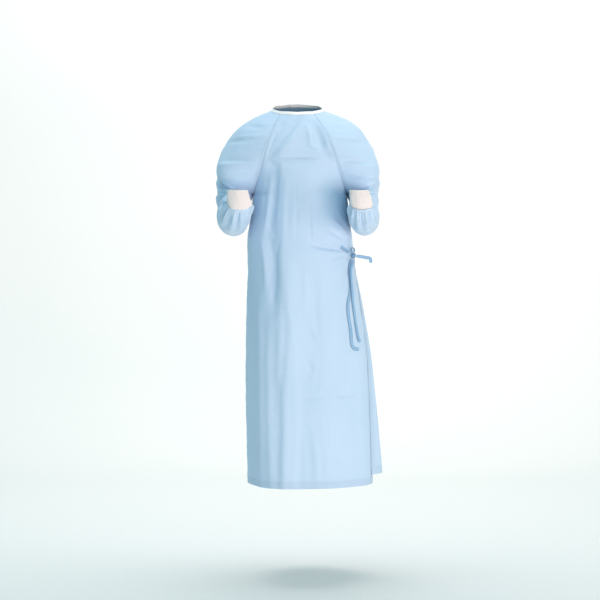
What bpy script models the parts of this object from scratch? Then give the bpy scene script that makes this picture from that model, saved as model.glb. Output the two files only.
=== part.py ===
"""Worn surgical gown: front panel, two wrap backs, raglan sleeves, knit cuffs, neck binding, waist tie.

Metres, +Z up. The origin is the middle of the neck opening at shoulder height, the front faces -Y and the
wearer's left is +X. Every cloth piece is a closed wall made from a grid of points: rows run down the gown or
along the sleeve, columns run across it.
"""

from types import SimpleNamespace

import bpy
import numpy as np

# Cloth and seams
CLOTH = 0.0015
SEAM_GAP = 0.0003

# Neck opening, measured where the panels meet the binding
NECK_X = -0.008
NECK_Y = -0.005
NECK_HALF_WIDTH = 0.0845
NECK_HALF_DEPTH = 0.073
NECK_SIDE_HEIGHT = 0.003
NECK_TILT = 0.0235
FRONT_SEAM_ANGLE = 38
BACK_SEAM_ANGLE = 130

# How full the sections are: their tangents' lengths as shares of the distance between their points
CHEST_FULLNESS = 1.1
UNDERARM_FULLNESS = 1.2
BACK_FULLNESS = 1.18

# Binding: a folded tape that carries the cloth's slope on, turned up a little, its ends overlapping behind
BINDING_HEIGHT = 0.010
BINDING_GAP = 0.0004
BINDING_LIFT = 0.6
BINDING_WALL = 0.0022
BINDING_PROUD = 0.0004

# Levels and numbers of rows down the gown
UNDERARM = -0.262
HEM = -1.157
YOKE_ROWS = 10
SKIRT_ROWS = 20

# The outer flap lies this far outside the back panel under it, and its hem corner is pulled up. The places
# are shares of the way across the back: where it rises, where its free edge starts to stand off and to lift,
# and how far ahead of the layer underneath its troughs fade out
LAYER = 0.0045
FLAP_CORNER_LIFT = 0.028
FLAP_RISES_FROM = 0.08
FLAP_STANDS_FROM = 0.62
FLAP_LIFTS_FROM = 0.60
FLAP_LIES_BACK = 0.8
FLAP_LIES_FROM = 1.03
TROUGHS_FADE_FROM = 0.12
TROUGHS_END_AT = 0.03

# Numbers of cells across the pieces
FRONT_CELLS = 20
FLAP_CELLS = 18
UNDER_CELLS = 13
SLEEVE_CELLS = 20
SLEEVE_RINGS = 12

# Gathers where the sleeve meets its cuff: where they start, are deepest and close, in rings from the cuff
GATHERS = 10
GATHER_HEIGHT = 0.0028
GATHERS_START = 4.0
GATHERS_DEEPEST = 1.2
GATHERS_CLOSE = 0.7

# Knit cuffs
RIBS = 28
CUFF_ROWS = 4
CUFF_WALL = 0.0020
CUFF_GAP = 0.0005
RIB_HEIGHT = 0.0007

# Waist tie: a flat cloth strip, knotted on the wearer's left
TIE_WIDTH = 0.010
TIE_WALL = 0.0012
TIE_CLEAR = 0.0012
TIE_LEVEL = -0.452
KNOT_X = 0.158
KNOT_SIZE = (0.020, 0.017, 0.025)
KNOT_OUT = 0.0077
TIE_OVER_EDGE = 0.0035
END_FACING = (0.25, -1.0, 0.0)
LOOP_ACROSS = (0.2, -1.0, 0.0)

# Neck tab: a hook and loop patch on the under panel that reaches past the flap's free edge
TAB_COLUMNS = (6, 12)
TAB_ROWS = (0.25, 0.95)
TAB_WALL = 0.0014

COLOURS = {
    "cloth": (0.40, 0.62, 0.84, 1.0),
    "tie": (0.34, 0.57, 0.82, 1.0),
    "knit": (0.80, 0.80, 0.80, 1.0),
    "binding": (0.86, 0.87, 0.88, 1.0),
}


def cubic(start, leave, end, arrive, share):
    """Points at these shares of the way along the cubic curve between two points with two tangents."""
    square = share * share
    cube = square * share
    return (
        start * (2 * cube - 3 * square + 1)
        + leave * (cube - 2 * square + share)
        + end * (3 * square - 2 * cube)
        + arrive * (cube - square)
    )


def smooth_step(low, high, value):
    """0 below low, 1 above high, and an even slope between."""
    share = np.clip((value - low) / (high - low), 0, 1)
    return share * share * (3 - 2 * share)


class Table:
    """Rows of named columns, read as a smooth curve at any key of the first column."""

    def __init__(self, names, rows):
        self.names = names.split()[1:]
        values = np.array(rows, float)
        self.keys = values[:, 0]
        self.values = values[:, 1:]
        self.slopes = np.gradient(self.values, self.keys, axis=0)

    def at(self, keys):
        """The columns at these keys, each as an array."""
        keys = np.atleast_1d(np.asarray(keys, float))
        row = np.clip(np.searchsorted(self.keys, keys, side="right") - 1, 0, len(self.keys) - 2)
        step = (self.keys[row + 1] - self.keys[row])[:, None]
        share = (keys - self.keys[row])[:, None] / step
        leave = self.slopes[row] * step
        arrive = self.slopes[row + 1] * step
        found = cubic(self.values[row], leave, self.values[row + 1], arrive, share)
        return SimpleNamespace(**dict(zip(self.names, found.T)))


def neck_ring(angle):
    """A point on the neck opening: 0 degrees is the front, 90 the wearer's left and 180 the back."""
    turn = np.radians(angle)
    x = NECK_X + NECK_HALF_WIDTH * np.sin(turn)
    y = NECK_Y - NECK_HALF_DEPTH * np.cos(turn)
    return np.array([x, y, NECK_SIDE_HEIGHT - NECK_TILT * np.cos(turn)])


FRONT_START = neck_ring(FRONT_SEAM_ANGLE) - [NECK_X, 0, 0]
BACK_START = neck_ring(BACK_SEAM_ANGLE) - [NECK_X, 0, 0]
SIDE_START = neck_ring(90) - [NECK_X, 0, 0]

# Raglan seams, from the neck (0) to the underarm (1). Each x is out from the middle. sleeve and body are the
# turns, in degrees towards the front or the back, of the cloth that leaves the seam on either side.
FRONT_SEAM = Table(
    "seam x y z sleeve body",
    [
        (0.00, *FRONT_START, -35, 35),
        (0.25, 0.081, -0.096, -0.070, -16, 16),
        (0.50, 0.104, -0.110, -0.132, -8, 10),
        (0.75, 0.122, -0.090, -0.194, 18, 34),
        (0.90, 0.138, -0.044, -0.241, 46, 66),
        (1.00, 0.148, 0.010, UNDERARM, 66, 84),
    ],
)
BACK_SEAM = Table(
    "seam x y z sleeve body",
    [
        (0.00, *BACK_START, -46, 46),
        (0.25, 0.093, 0.086, -0.045, -25, 25),
        (0.50, 0.116, 0.110, -0.115, -12, 12),
        (0.75, 0.132, 0.100, -0.190, 12, 30),
        (0.90, 0.143, 0.060, -0.240, 42, 66),
        (1.00, 0.148, 0.010, UNDERARM, 66, 84),
    ],
)

# The shoulder ridge, with its x out from the middle on either sleeve, and how full the sleeve is there
RIDGE = Table(
    "seam right left y z full",
    [
        (0.00, SIDE_START[0], SIDE_START[0], SIDE_START[1], SIDE_START[2], 1.0),
        (0.25, 0.159, 0.162, 0.002, -0.029, 0.95),
        (0.50, 0.221, 0.213, 0.004, -0.078, 1.0),
        (0.75, 0.2535, 0.241, 0.004, -0.148, 1.45),
        (0.90, 0.261, 0.249, 0.002, -0.195, 2.15),
        (1.00, 0.262, 0.249, 0.000, -0.225, 2.65),
    ],
)

# The middle of the front and of the back above the underarm, and the shares of the way across the back, from
# the wearer's right, where the outer flap and the panel under it end
YOKE = Table(
    "seam front_x front_y front_z back_x back_y back_z flap_end under_end",
    [
        (0.00, *neck_ring(0), *neck_ring(180), 0.80, 0.35),
        (0.25, -0.006, -0.101, -0.075, -0.004, 0.100, -0.030, 0.80, 0.35),
        (0.50, -0.003, -0.119, -0.135, -0.002, 0.125, -0.110, 0.79, 0.35),
        (0.75, -0.002, -0.131, -0.200, 0.000, 0.133, -0.190, 0.79, 0.35),
        (1.00, 0.000, -0.136, UNDERARM, 0.000, 0.134, UNDERARM, 0.80, 0.35),
    ],
)

# Sections of the body below the underarm. ridge is the most forward line of the front, which wanders to the
# wearer's right; plane and flat say how full the cloth is on either side of it. A flap_end above 1 lies on
# the front, that share of its width past the side seam. flare is how far the flap stands off the side seam.
BODY = Table(
    "down right left side_y ridge_x ridge_y plane flat back_x back_y flap_end under_end flare",
    [
        (0.262, 0.148, 0.148, 0.010, 0.000, -0.136, 1.20, 1.20, 0.000, 0.134, 0.800, 0.35, 0.000),
        (0.320, 0.152, 0.153, 0.010, -0.004, -0.138, 1.20, 1.22, 0.000, 0.135, 0.840, 0.35, 0.000),
        (0.389, 0.164, 0.163, 0.008, -0.012, -0.140, 1.15, 1.25, 0.002, 0.136, 0.910, 0.35, 0.000),
        (0.489, 0.163, 0.172, 0.000, -0.024, -0.144, 1.00, 1.25, 0.004, 0.140, 0.985, 0.35, 0.001),
        (0.589, 0.166, 0.187, -0.006, -0.034, -0.149, 0.92, 1.22, 0.008, 0.144, 1.010, 0.35, 0.004),
        (0.740, 0.169, 0.208, -0.010, -0.042, -0.156, 0.88, 1.20, 0.014, 0.150, 1.030, 0.35, 0.010),
        (0.890, 0.169, 0.218, -0.012, -0.045, -0.162, 0.86, 1.20, 0.018, 0.156, 1.045, 0.35, 0.016),
        (1.040, 0.166, 0.224, -0.012, -0.046, -0.167, 0.86, 1.20, 0.020, 0.161, 1.060, 0.35, 0.022),
        (1.157, 0.163, 0.227, -0.012, -0.044, -0.171, 0.86, 1.20, 0.020, 0.165, 1.068, 0.35, 0.026),
    ],
)

# Rings of the sleeve from just below the underarm (0) to the cuff. x is out from the middle, inner on the
# body's side; turn swings the ring from level (0) to upright (90) and on; top and under are its reaches from
# its middle on the side of the crook and of the elbow.
SLEEVE = Table(
    "ring right_in right_out left_in left_out in_z out_z y turn top under",
    [
        (0, 0.148, 0.262, 0.148, 0.249, UNDERARM, -0.225, 0.010, 0, 0.076, 0.080),
        (1, 0.157, 0.262, 0.157, 0.248, -0.290, -0.265, -0.004, 10, 0.078, 0.086),
        (2, 0.159, 0.260, 0.159, 0.245, -0.316, -0.303, -0.018, 28, 0.070, 0.083),
        (3, 0.159, 0.256, 0.158, 0.242, -0.327, -0.323, -0.035, 43, 0.061, 0.072),
        (4, 0.157, 0.252, 0.155, 0.240, -0.331, -0.331, -0.060, 62, 0.059, 0.063),
        (5, 0.155, 0.250, 0.150, 0.238, -0.331, -0.331, -0.102, 84, 0.058, 0.058),
        (6, 0.151, 0.248, 0.146, 0.236, -0.329, -0.329, -0.155, 90, 0.056, 0.057),
        (7, 0.146, 0.244, 0.142, 0.232, -0.327, -0.327, -0.205, 92, 0.054, 0.057),
        (8, 0.141, 0.236, 0.141, 0.226, -0.325, -0.325, -0.242, 103, 0.050, 0.055),
        (9, 0.139, 0.224, 0.143, 0.218, -0.322, -0.322, -0.266, 125, 0.040, 0.046),
        (10, 0.140, 0.211, 0.146, 0.212, -0.311, -0.311, -0.284, 150, 0.0345, 0.0345),
    ],
)

# Rings of the bent knit cuff from the sleeve (0) to its opening (1)
CUFF = Table(
    "along right left right_half left_half y z turn",
    [
        (0.00, 0.1755, 0.1790, 0.0355, 0.0330, -0.2840, -0.3110, 150),
        (0.50, 0.1785, 0.1760, 0.0325, 0.0305, -0.2930, -0.2915, 166),
        (1.00, 0.1825, 0.1706, 0.0300, 0.0285, -0.2970, -0.2700, 176),
    ],
)

# Large folds of each panel. A row is x0, z0, x1, z1, width and height: a crest (height above 0) or trough
# along the line from (x0, z0) to (x1, z1), that fades out at both ends
FRONT_FOLDS = [
    (0.012, -0.030, -0.100, -0.170, 0.022, -0.0060),
    (0.028, -0.040, 0.100, -0.170, 0.026, -0.0040),
    (-0.080, -0.155, 0.050, -0.162, 0.024, -0.0030),
    (-0.068, -0.180, -0.088, -0.400, 0.028, -0.0070),
    (-0.090, -0.330, -0.074, -0.640, 0.032, -0.0090),
    (-0.118, -0.520, -0.105, -1.280, 0.040, 0.0060),
    (-0.040, -0.420, -0.046, -1.400, 0.045, 0.0060),
    (0.020, -0.450, 0.050, -0.900, 0.045, -0.0040),
    (0.060, -0.700, 0.085, -1.400, 0.050, 0.0040),
    (0.130, -0.480, 0.150, -1.400, 0.045, -0.0050),
    (0.020, -0.418, 0.150, -0.430, 0.024, -0.0040),
    (0.080, -0.340, 0.152, -0.415, 0.022, 0.0035),
]
FLAP_FOLDS = [
    (-0.100, -0.120, -0.075, -0.460, 0.034, -0.0070),
    (-0.085, -0.300, -0.110, -1.000, 0.040, 0.0080),
    (-0.045, -0.420, -0.055, -1.400, 0.038, -0.0080),
    (0.010, -0.300, 0.000, -0.900, 0.040, 0.0070),
    (0.065, -0.500, 0.055, -1.400, 0.042, -0.0080),
    (0.120, -0.560, 0.125, -1.400, 0.036, 0.0070),
    (-0.020, -0.250, 0.170, -0.440, 0.030, -0.0060),
    (0.040, -0.180, 0.150, -0.330, 0.026, 0.0040),
]

# Stretches of the waist tie that lie on the front panel: x, z and how far out each point is
TIE_FRONT = [(0.1240, -0.4260, 0.0), (0.1360, -0.4340, 0.0015), (0.1475, -0.4440, 0.0050)]
TIE_TAIL_1 = [
    (0.1545, -0.4650, 0.0050),
    (0.1520, -0.4760, 0.0030),
    (0.1490, -0.4950, 0.0010),
    (0.1520, -0.5300, 0.0),
    (0.1530, -0.5480, 0.0),
    (0.1520, -0.5690, 0.0),
    (0.1460, -0.5970, 0.0),
    (0.1465, -0.6320, 0.0),
    (0.1540, -0.6810, 0.0),
    (0.1570, -0.7220, 0.0),
    (0.1640, -0.7370, 0.0010),
    (0.1780, -0.7400, 0.0020),
]
TIE_TAIL_2 = [
    (0.1600, -0.4670, 0.0080),
    (0.1560, -0.4760, 0.0065),
    (0.1520, -0.4950, 0.0045),
    (0.1535, -0.5300, 0.0035),
    (0.1550, -0.5480, 0.0035),
    (0.1570, -0.5690, 0.0030),
    (0.1620, -0.6070, 0.0010),
    (0.1690, -0.6550, 0.0),
    (0.1755, -0.6990, 0.0010),
    (0.1810, -0.7180, 0.0020),
]

# Stretches that stand in the air: offsets from the middle of the knot
TIE_END = [
    (0.0077, 0.000, -0.0015),
    (0.0240, 0.002, -0.0035),
    (0.0400, 0.004, -0.0065),
    (0.0510, 0.006, -0.0085),
    (0.0540, 0.006, -0.0150),
    (0.0530, 0.006, -0.0225),
]
TIE_LOOP = [
    (-0.0040, 0.000, 0.0103),
    (-0.0070, -0.002, 0.0190),
    (-0.0020, -0.004, 0.0250),
    (0.0035, -0.003, 0.0185),
    (0.0035, 0.000, 0.0103),
]

# Bulges and creases of the sleeves. A row is the ring it lies at, the angle round from the inner side over
# the top, its reach along and round, and its height
SLEEVE_FOLDS = [
    (-4.2, 150, 1.6, 70, -0.0060),
    (-1.6, 120, 1.2, 80, 0.0050),
    (-0.2, 140, 0.9, 90, -0.0060),
    (1.2, 170, 0.9, 80, 0.0060),
    (2.6, 40, 0.9, 100, -0.0060),
    (3.6, 180, 0.8, 60, -0.0050),
    (4.7, 190, 0.9, 70, 0.0050),
    (5.6, 60, 0.8, 110, 0.0040),
    (6.4, 200, 0.8, 90, -0.0050),
    (7.4, 250, 0.9, 110, 0.0050),
]


def outlined(side, x, y, z):
    """Points of a table whose x is out from the middle on this side, -1 for the wearer's right."""
    return np.stack([side * x, y, z], axis=-1)


def neck_shift(seam):
    """How far the gown's middle sits to one side, all of it at the neck and none at the underarm."""
    return np.outer((1 - seam) ** 2, [NECK_X, 0, 0])


def level_way(turn, across, forward):
    """Level unit vectors that point across at a turn of 0 degrees and forward or back at 90."""
    turn = np.radians(turn)
    return np.stack([across * np.cos(turn), forward * np.sin(turn), np.zeros_like(turn)], axis=-1)


def span(start, leave, end, arrive, fullness, shares):
    """A curve for each row from start to end, whose tangents grow with the distance and the fullness."""
    reach = np.linalg.norm(end - start, axis=-1, keepdims=True) * fullness[:, None]
    rise = (end - start) * [0, 0, 1]
    return cubic(
        start[:, None],
        (leave * reach + rise)[:, None],
        end[:, None],
        (arrive * reach + rise)[:, None],
        shares[:, :, None],
    )


def panel_surface(edges, middle, turns, forward, fullness, shares):
    """Rows across the front or the back, at shares from 0, the wearer's right, to 1, the wearer's left."""
    across = np.tile([1.0, 0.0, 0.0], (len(middle), 1))
    leave = level_way(turns, 1, forward)
    arrive = level_way(turns, 1, -forward)
    right = span(edges[0], leave, middle, across, fullness[0], np.clip(2 * shares, 0, 1))
    left = span(middle, across, edges[1], arrive, fullness[1], np.clip(2 * shares - 1, 0, 1))
    return np.where(shares[:, :, None] < 0.5, right, left)


def body_rows():
    """Where the rows of the body lie: seam places above the underarm, then depths below it."""
    seam = np.linspace(0, 1, YOKE_ROWS)
    down = -np.linspace(UNDERARM, HEM, SKIRT_ROWS + 1)[1:]
    return seam, down


def body_edges(seam_table, seam, down):
    """The two side edges of every row: raglan seams above the underarm, side seams below it."""
    above = seam_table.at(seam)
    below = BODY.at(down)
    right = outlined(-1, above.x, above.y, above.z) + neck_shift(seam)
    left = outlined(1, above.x, above.y, above.z) + neck_shift(seam)
    right_side = outlined(-1, below.right, below.side_y, -down)
    left_side = outlined(1, below.left, below.side_y, -down)
    return np.vstack([right, right_side]), np.vstack([left, left_side])


def front_surface(shares):
    """The front panel's points at these shares of the way across every row."""
    seam, down = body_rows()
    above = YOKE.at(seam)
    below = BODY.at(down)
    middle_above = np.stack([above.front_x, above.front_y, above.front_z], axis=-1)
    middle_below = np.stack([below.ridge_x, below.ridge_y, -down], axis=-1)
    turns = np.concatenate([FRONT_SEAM.at(seam).body, np.full(len(down), 90.0)])
    chest = CHEST_FULLNESS + (UNDERARM_FULLNESS - CHEST_FULLNESS) * seam
    fullness = (np.concatenate([chest, below.plane]), np.concatenate([chest, below.flat]))
    edges = body_edges(FRONT_SEAM, seam, down)
    return panel_surface(edges, np.vstack([middle_above, middle_below]), turns, -1, fullness, shares)


def back_surface(shares):
    """Points at these shares of the way across the back, from the wearer's right to the left."""
    seam, down = body_rows()
    above = YOKE.at(seam)
    below = BODY.at(down)
    middle_above = np.stack([above.back_x, above.back_y, above.back_z], axis=-1)
    middle_below = np.stack([below.back_x, below.back_y, -down], axis=-1)
    turns = np.concatenate([BACK_SEAM.at(seam).body, np.full(len(down), 90.0)])
    full = np.full(len(turns), BACK_FULLNESS)
    edges = body_edges(BACK_SEAM, seam, down)
    return panel_surface(edges, np.vstack([middle_above, middle_below]), turns, 1, (full, full), shares)


def wrap_surface(shares):
    """The back's points, and past its left side those of the front, at shares that run above 1."""
    back = back_surface(np.minimum(shares, 1))
    front = front_surface(np.minimum(2 - shares, 1))
    return np.where(shares[:, :, None] > 1, front, back)


def column_of(name):
    """One column of the back's layout for every row, from the yoke's table and then the body's."""
    seam, down = body_rows()
    above = getattr(YOKE.at(seam), name)
    return np.concatenate([above, getattr(BODY.at(down), name)])


def quads_of(index, flip):
    """A face for every cell of a grid of point numbers."""
    corners = [index[:-1, :-1], index[1:, :-1], index[1:, 1:], index[:-1, 1:]]
    quads = np.stack([corner.ravel() for corner in corners], axis=-1)
    return quads[:, ::-1] if flip else quads


def normals_of(points, quads):
    """Outward directions at the points, the sum of those of the faces round each."""
    corner = points[quads]
    face = np.cross(corner[:, 2] - corner[:, 0], corner[:, 3] - corner[:, 1])
    total = np.zeros_like(points)
    for place in range(4):
        np.add.at(total, quads[:, place], face)
    return total


def unit(vectors):
    """The vectors at a length of one."""
    return vectors / np.maximum(np.linalg.norm(vectors, axis=-1, keepdims=True), 1e-12)


class Sheet:
    """One cut piece of cloth: its grid of points, its faces and its outward directions."""

    def __init__(self, name, grid, flip, welded_from=None):
        rows, columns = grid.shape[:2]
        index = np.arange(rows * columns).reshape(rows, columns)
        if welded_from is not None:
            index[welded_from:, -1] = index[welded_from:, 0]
        used, packed = np.unique(index, return_inverse=True)
        self.name = name
        self.index = packed.reshape(rows, columns)
        self.points = grid.reshape(-1, 3)[used]
        self.quads = quads_of(self.index, flip)
        self.normals = unit(normals_of(self.points, self.quads))

    def displace(self, heights):
        """Moves the points out by a grid of heights."""
        flat = np.zeros(len(self.points))
        flat[self.index.ravel()] = heights.ravel()
        self.points = self.points + self.normals * flat[:, None]

    def middles(self):
        """For each point, the middle of the faces round it."""
        centre = self.points[self.quads].mean(axis=1)
        total = np.zeros_like(self.points)
        count = np.zeros(len(self.points))
        for place in range(4):
            np.add.at(total, self.quads[:, place], centre)
            np.add.at(count, self.quads[:, place], 1)
        return total / count[:, None]


def fold_heights(grid, folds):
    """Heights of the folds over a grid, none at its first row and at its sides."""
    heights = np.zeros(grid.shape[:2])
    place = grid[..., [0, 2]]
    for x0, z0, x1, z1, width, height in folds:
        start = np.array([x0, z0])
        run = np.array([x1 - x0, z1 - z0])
        share = np.clip(((place - start) @ run) / (run @ run), 0, 1)
        away = np.linalg.norm(place - start - share[..., None] * run, axis=-1)
        fade = 1 - np.abs(2 * share - 1) ** 3
        heights += height * fade * (1 - smooth_step(0, width, away))
    columns = np.arange(grid.shape[1])
    from_side = np.minimum(columns, columns[::-1])
    rows = np.arange(grid.shape[0])
    return heights * smooth_step(0, 2, from_side) * smooth_step(0, 2, rows)[:, None]


def front_sheet():
    """The front panel."""
    shares = np.tile(np.linspace(0, 1, FRONT_CELLS + 1), (YOKE_ROWS + SKIRT_ROWS, 1))
    grid = front_surface(shares)
    sheet = Sheet("front_panel", grid, flip=False)
    sheet.displace(fold_heights(grid, FRONT_FOLDS))
    return sheet


def flap_sheet():
    """The wearer's right back, which wraps over the back and round the wearer's left side."""
    end = column_of("flap_end")
    under = column_of("under_end")
    shares = np.linspace(0, 1, FLAP_CELLS + 1) * end[:, None]
    grid = wrap_surface(shares)
    sheet = Sheet("back_panel_right", grid, flip=True)
    heights = fold_heights(grid, FLAP_FOLDS)
    down = body_rows()[1]
    flare = np.concatenate([np.zeros(YOKE_ROWS), BODY.at(down).flare])
    over = LAYER * smooth_step(FLAP_RISES_FROM, under[:, None] - TROUGHS_END_AT, shares)
    stand = flare[:, None] * smooth_step(FLAP_STANDS_FROM, np.minimum(end, 1)[:, None], shares)
    wrapped = smooth_step(1, FLAP_LIES_FROM, end)[:, None]
    lies = FLAP_LIES_BACK * wrapped * smooth_step(1, np.maximum(end, 1.001)[:, None], shares)
    sheet.displace(layered(heights, shares, under) + over + stand * (1 - lies))
    fall = np.clip(-grid[..., 2] / -HEM, 0, 1) ** 3
    lift = FLAP_CORNER_LIFT * smooth_step(FLAP_LIFTS_FROM, 1.0, shares) * fall
    sheet.points[:, 2] += lift.ravel()
    return sheet


def layered(heights, shares, under):
    """Fold heights that never sink where another layer lies underneath."""
    covered = smooth_step(under[:, None] - TROUGHS_FADE_FROM, under[:, None] - TROUGHS_END_AT, shares)
    return np.where(heights < 0, heights * (1 - covered), heights)


def under_sheet():
    """The wearer's left back, which lies under the flap."""
    start = column_of("under_end")[:, None]
    grid = back_surface(start + (1 - start) * np.linspace(0, 1, UNDER_CELLS + 1))
    return Sheet("back_panel_left", grid, flip=True)


def half_loops(inner, outer, turn, top, under, cells):
    """Closed rings from the inner point over the top to the outer point and back underneath."""
    turn = np.radians(turn)
    up = np.stack([np.zeros_like(turn), -np.cos(turn), np.sin(turn)], axis=-1)
    shares = np.tile(np.linspace(0, 1, cells // 2 + 1)[None], (len(turn), 1))[:, :, None]
    leave = 4 * up * top[:, None]
    over = cubic(inner[:, None], leave[:, None], outer[:, None], -leave[:, None], shares)
    back = -4 * up * under[:, None]
    below = cubic(outer[:, None], back[:, None], inner[:, None], -back[:, None], shares)
    return np.concatenate([over, below[:, 1:]], axis=1)


def sleeve_yoke(side):
    """Rows of the sleeve from the neck to the underarm, each from the front seam to the back seam."""
    seam = np.linspace(0, 1, YOKE_ROWS)
    front = FRONT_SEAM.at(seam)
    back = BACK_SEAM.at(seam)
    ridge = RIDGE.at(seam)
    shift = neck_shift(seam)
    start = outlined(side, front.x, front.y, front.z) + shift
    end = outlined(side, back.x, back.y, back.z) + shift
    top = outlined(side, ridge.right if side < 0 else ridge.left, ridge.y, ridge.z) + shift
    shares = np.tile(np.linspace(0, 1, SLEEVE_CELLS // 2 + 1), (YOKE_ROWS, 1))
    rearward = np.tile([0.0, 1.0, 0.0], (YOKE_ROWS, 1))
    first = span(start, level_way(front.sleeve, side, -1), top, rearward, ridge.full, shares)
    arrive = -level_way(back.sleeve, side, 1)
    second = span(top, rearward, end, arrive, ridge.full, shares)
    return np.concatenate([first, second[:, 1:]], axis=1)


def sleeve_rings(side):
    """Rings of the sleeve from below the underarm to the cuff."""
    ring = np.linspace(0, SLEEVE.keys[-1], SLEEVE_RINGS + 1)[1:]
    rows = SLEEVE.at(ring)
    inner_x, outer_x = (rows.right_in, rows.right_out) if side < 0 else (rows.left_in, rows.left_out)
    inner = outlined(side, inner_x, rows.y, rows.in_z)
    outer = outlined(side, outer_x, rows.y, rows.out_z)
    return ring, half_loops(inner, outer, rows.turn, rows.top, rows.under, SLEEVE_CELLS)


def sleeve_sheet(name, side):
    """A raglan sleeve from the neck to the cuff, closed below the underarm."""
    ring, rings = sleeve_rings(side)
    grid = np.concatenate([sleeve_yoke(side), rings])
    sheet = Sheet(name, grid, flip=side < 0, welded_from=YOKE_ROWS - 1)
    along = np.concatenate([np.arange(1 - YOKE_ROWS, 1), ring])[:, None]
    angle = np.linspace(0, 360, SLEEVE_CELLS + 1)[None]
    heights = np.zeros(grid.shape[:2])
    for place, where, reach, round_reach, height in SLEEVE_FOLDS:
        away = np.abs((angle - where + 180) % 360 - 180) / round_reach
        near = np.clip(1 - ((along - place) / reach) ** 2, 0, 1)
        heights += height * near * np.clip(1 - away**2, 0, 1) ** 2
    last = SLEEVE.keys[-1]
    gathered = smooth_step(last - GATHERS_START, last - GATHERS_DEEPEST, along)
    gathered = gathered * (1 - smooth_step(last - GATHERS_CLOSE, last, along))
    heights = heights * (1 - smooth_step(last - 1.5, last - 0.2, along))
    heights += GATHER_HEIGHT * gathered * np.cos(np.radians(angle * GATHERS))
    from_side = np.minimum(angle, 360 - angle) / 360 * SLEEVE_CELLS
    open_rows = np.arange(len(grid))[:, None] < YOKE_ROWS
    fade = np.where(open_rows, smooth_step(0, 2, from_side), 1.0) * smooth_step(0, 2, along + YOKE_ROWS - 1)
    heights *= fade
    heights[YOKE_ROWS - 1 :, -1] = heights[YOKE_ROWS - 1 :, 0]
    sheet.displace(heights)
    return sheet


def join_seams(sheets):
    """Gives the pieces that meet at a seam one outward direction there, and parts them by the seam gap."""
    keys = [[tuple(row) for row in np.round(sheet.points, 6)] for sheet in sheets]
    body, sleeve = {}, {}
    owners = {}
    for sheet, names in zip(sheets, keys):
        sheet.normals = unit(normals_of(sheet.points, sheet.quads))
        total = sleeve if sheet.name.startswith("sleeve") else body
        for name, normal in zip(names, sheet.normals):
            total[name] = total.get(name, np.zeros(3)) + normal
            owners.setdefault(name, set()).add(sheet.name)
    shared = {}
    for name, found in owners.items():
        if len(found) > 1:
            shared[name] = unit(unit(body.get(name, np.zeros(3))) + unit(sleeve.get(name, np.zeros(3))))
    for sheet, names in zip(sheets, keys):
        centres = sheet.middles()
        for place, name in enumerate(names):
            if name not in shared:
                continue
            outward = shared[name]
            inward = centres[place] - sheet.points[place]
            inward = unit(inward - (inward @ outward) * outward)
            sheet.normals[place] = outward
            sheet.points[place] = sheet.points[place] + inward * SEAM_GAP / 2


def colour_material(name, roughness):
    """A plain material in one of the gown's colours."""
    material = bpy.data.materials.new(name)
    material.use_nodes = True
    shader = material.node_tree.nodes["Principled BSDF"]
    shader.inputs["Base Color"].default_value = COLOURS[name]
    shader.inputs["Roughness"].default_value = roughness
    shader.inputs["Metallic"].default_value = 0.0
    return material


def make_wall(name, outer, inner, quads, material, collection):
    """A closed wall: the outer faces, the inner faces turned round, and a rim along every open edge."""
    count = len(outer)
    faces = [tuple(int(corner) for corner in quad) for quad in quads]
    edges = {(face[i], face[(i + 1) % 4]) for face in faces for i in range(4)}
    rim = [(b, a, a + count, b + count) for a, b in sorted(edges) if (b, a) not in edges]
    inside = [tuple(corner + count for corner in reversed(face)) for face in faces]
    mesh = bpy.data.meshes.new(name)
    mesh.from_pydata(np.vstack([outer, inner]).tolist(), [], faces + inside + rim)
    mesh.shade_smooth()
    mesh.set_sharp_from_angle(angle=np.radians(50))
    mesh.materials.append(material)
    piece = bpy.data.objects.new(name, mesh)
    collection.objects.link(piece)
    return piece


def make_sheet(sheet, material, collection):
    """The wall of a cut piece, its inside one cloth thickness in."""
    inner = sheet.points - sheet.normals * CLOTH
    return make_wall(sheet.name, sheet.points, inner, sheet.quads, material, collection)


def make_cuff(name, side, material, collection):
    """A bent tube of rib knit: ribs raised on the outside over a plain inside."""
    rows = CUFF.at(np.linspace(0, 1, CUFF_ROWS))
    middle_x, half = (rows.right, rows.right_half) if side < 0 else (rows.left, rows.left_half)
    turn = np.radians(rows.turn)
    along = np.stack([np.zeros_like(turn), -np.sin(turn), -np.cos(turn)], axis=-1)
    middle = outlined(side, middle_x, rows.y, rows.z)
    middle[0] += along[0] * CUFF_GAP
    cells = RIBS * 2

    def rings(shrink):
        width = np.stack([half - shrink, np.zeros_like(half), np.zeros_like(half)], axis=-1) * side
        reach = half - shrink
        return half_loops(middle - width, middle + width, rows.turn, reach, reach, cells)

    outer = rings(0.0)
    inner = rings(CUFF_WALL)
    outward = unit(outer - middle[:, None])
    ribs = RIB_HEIGHT * np.cos(np.arange(cells + 1) * np.pi)
    outer = outer + outward * ribs[None, :, None]
    shell = Sheet(name, outer, flip=side < 0, welded_from=0)
    lining = Sheet(name, inner, flip=side < 0, welded_from=0)
    return make_wall(name, shell.points, lining.points, shell.quads, material, collection)


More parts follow.
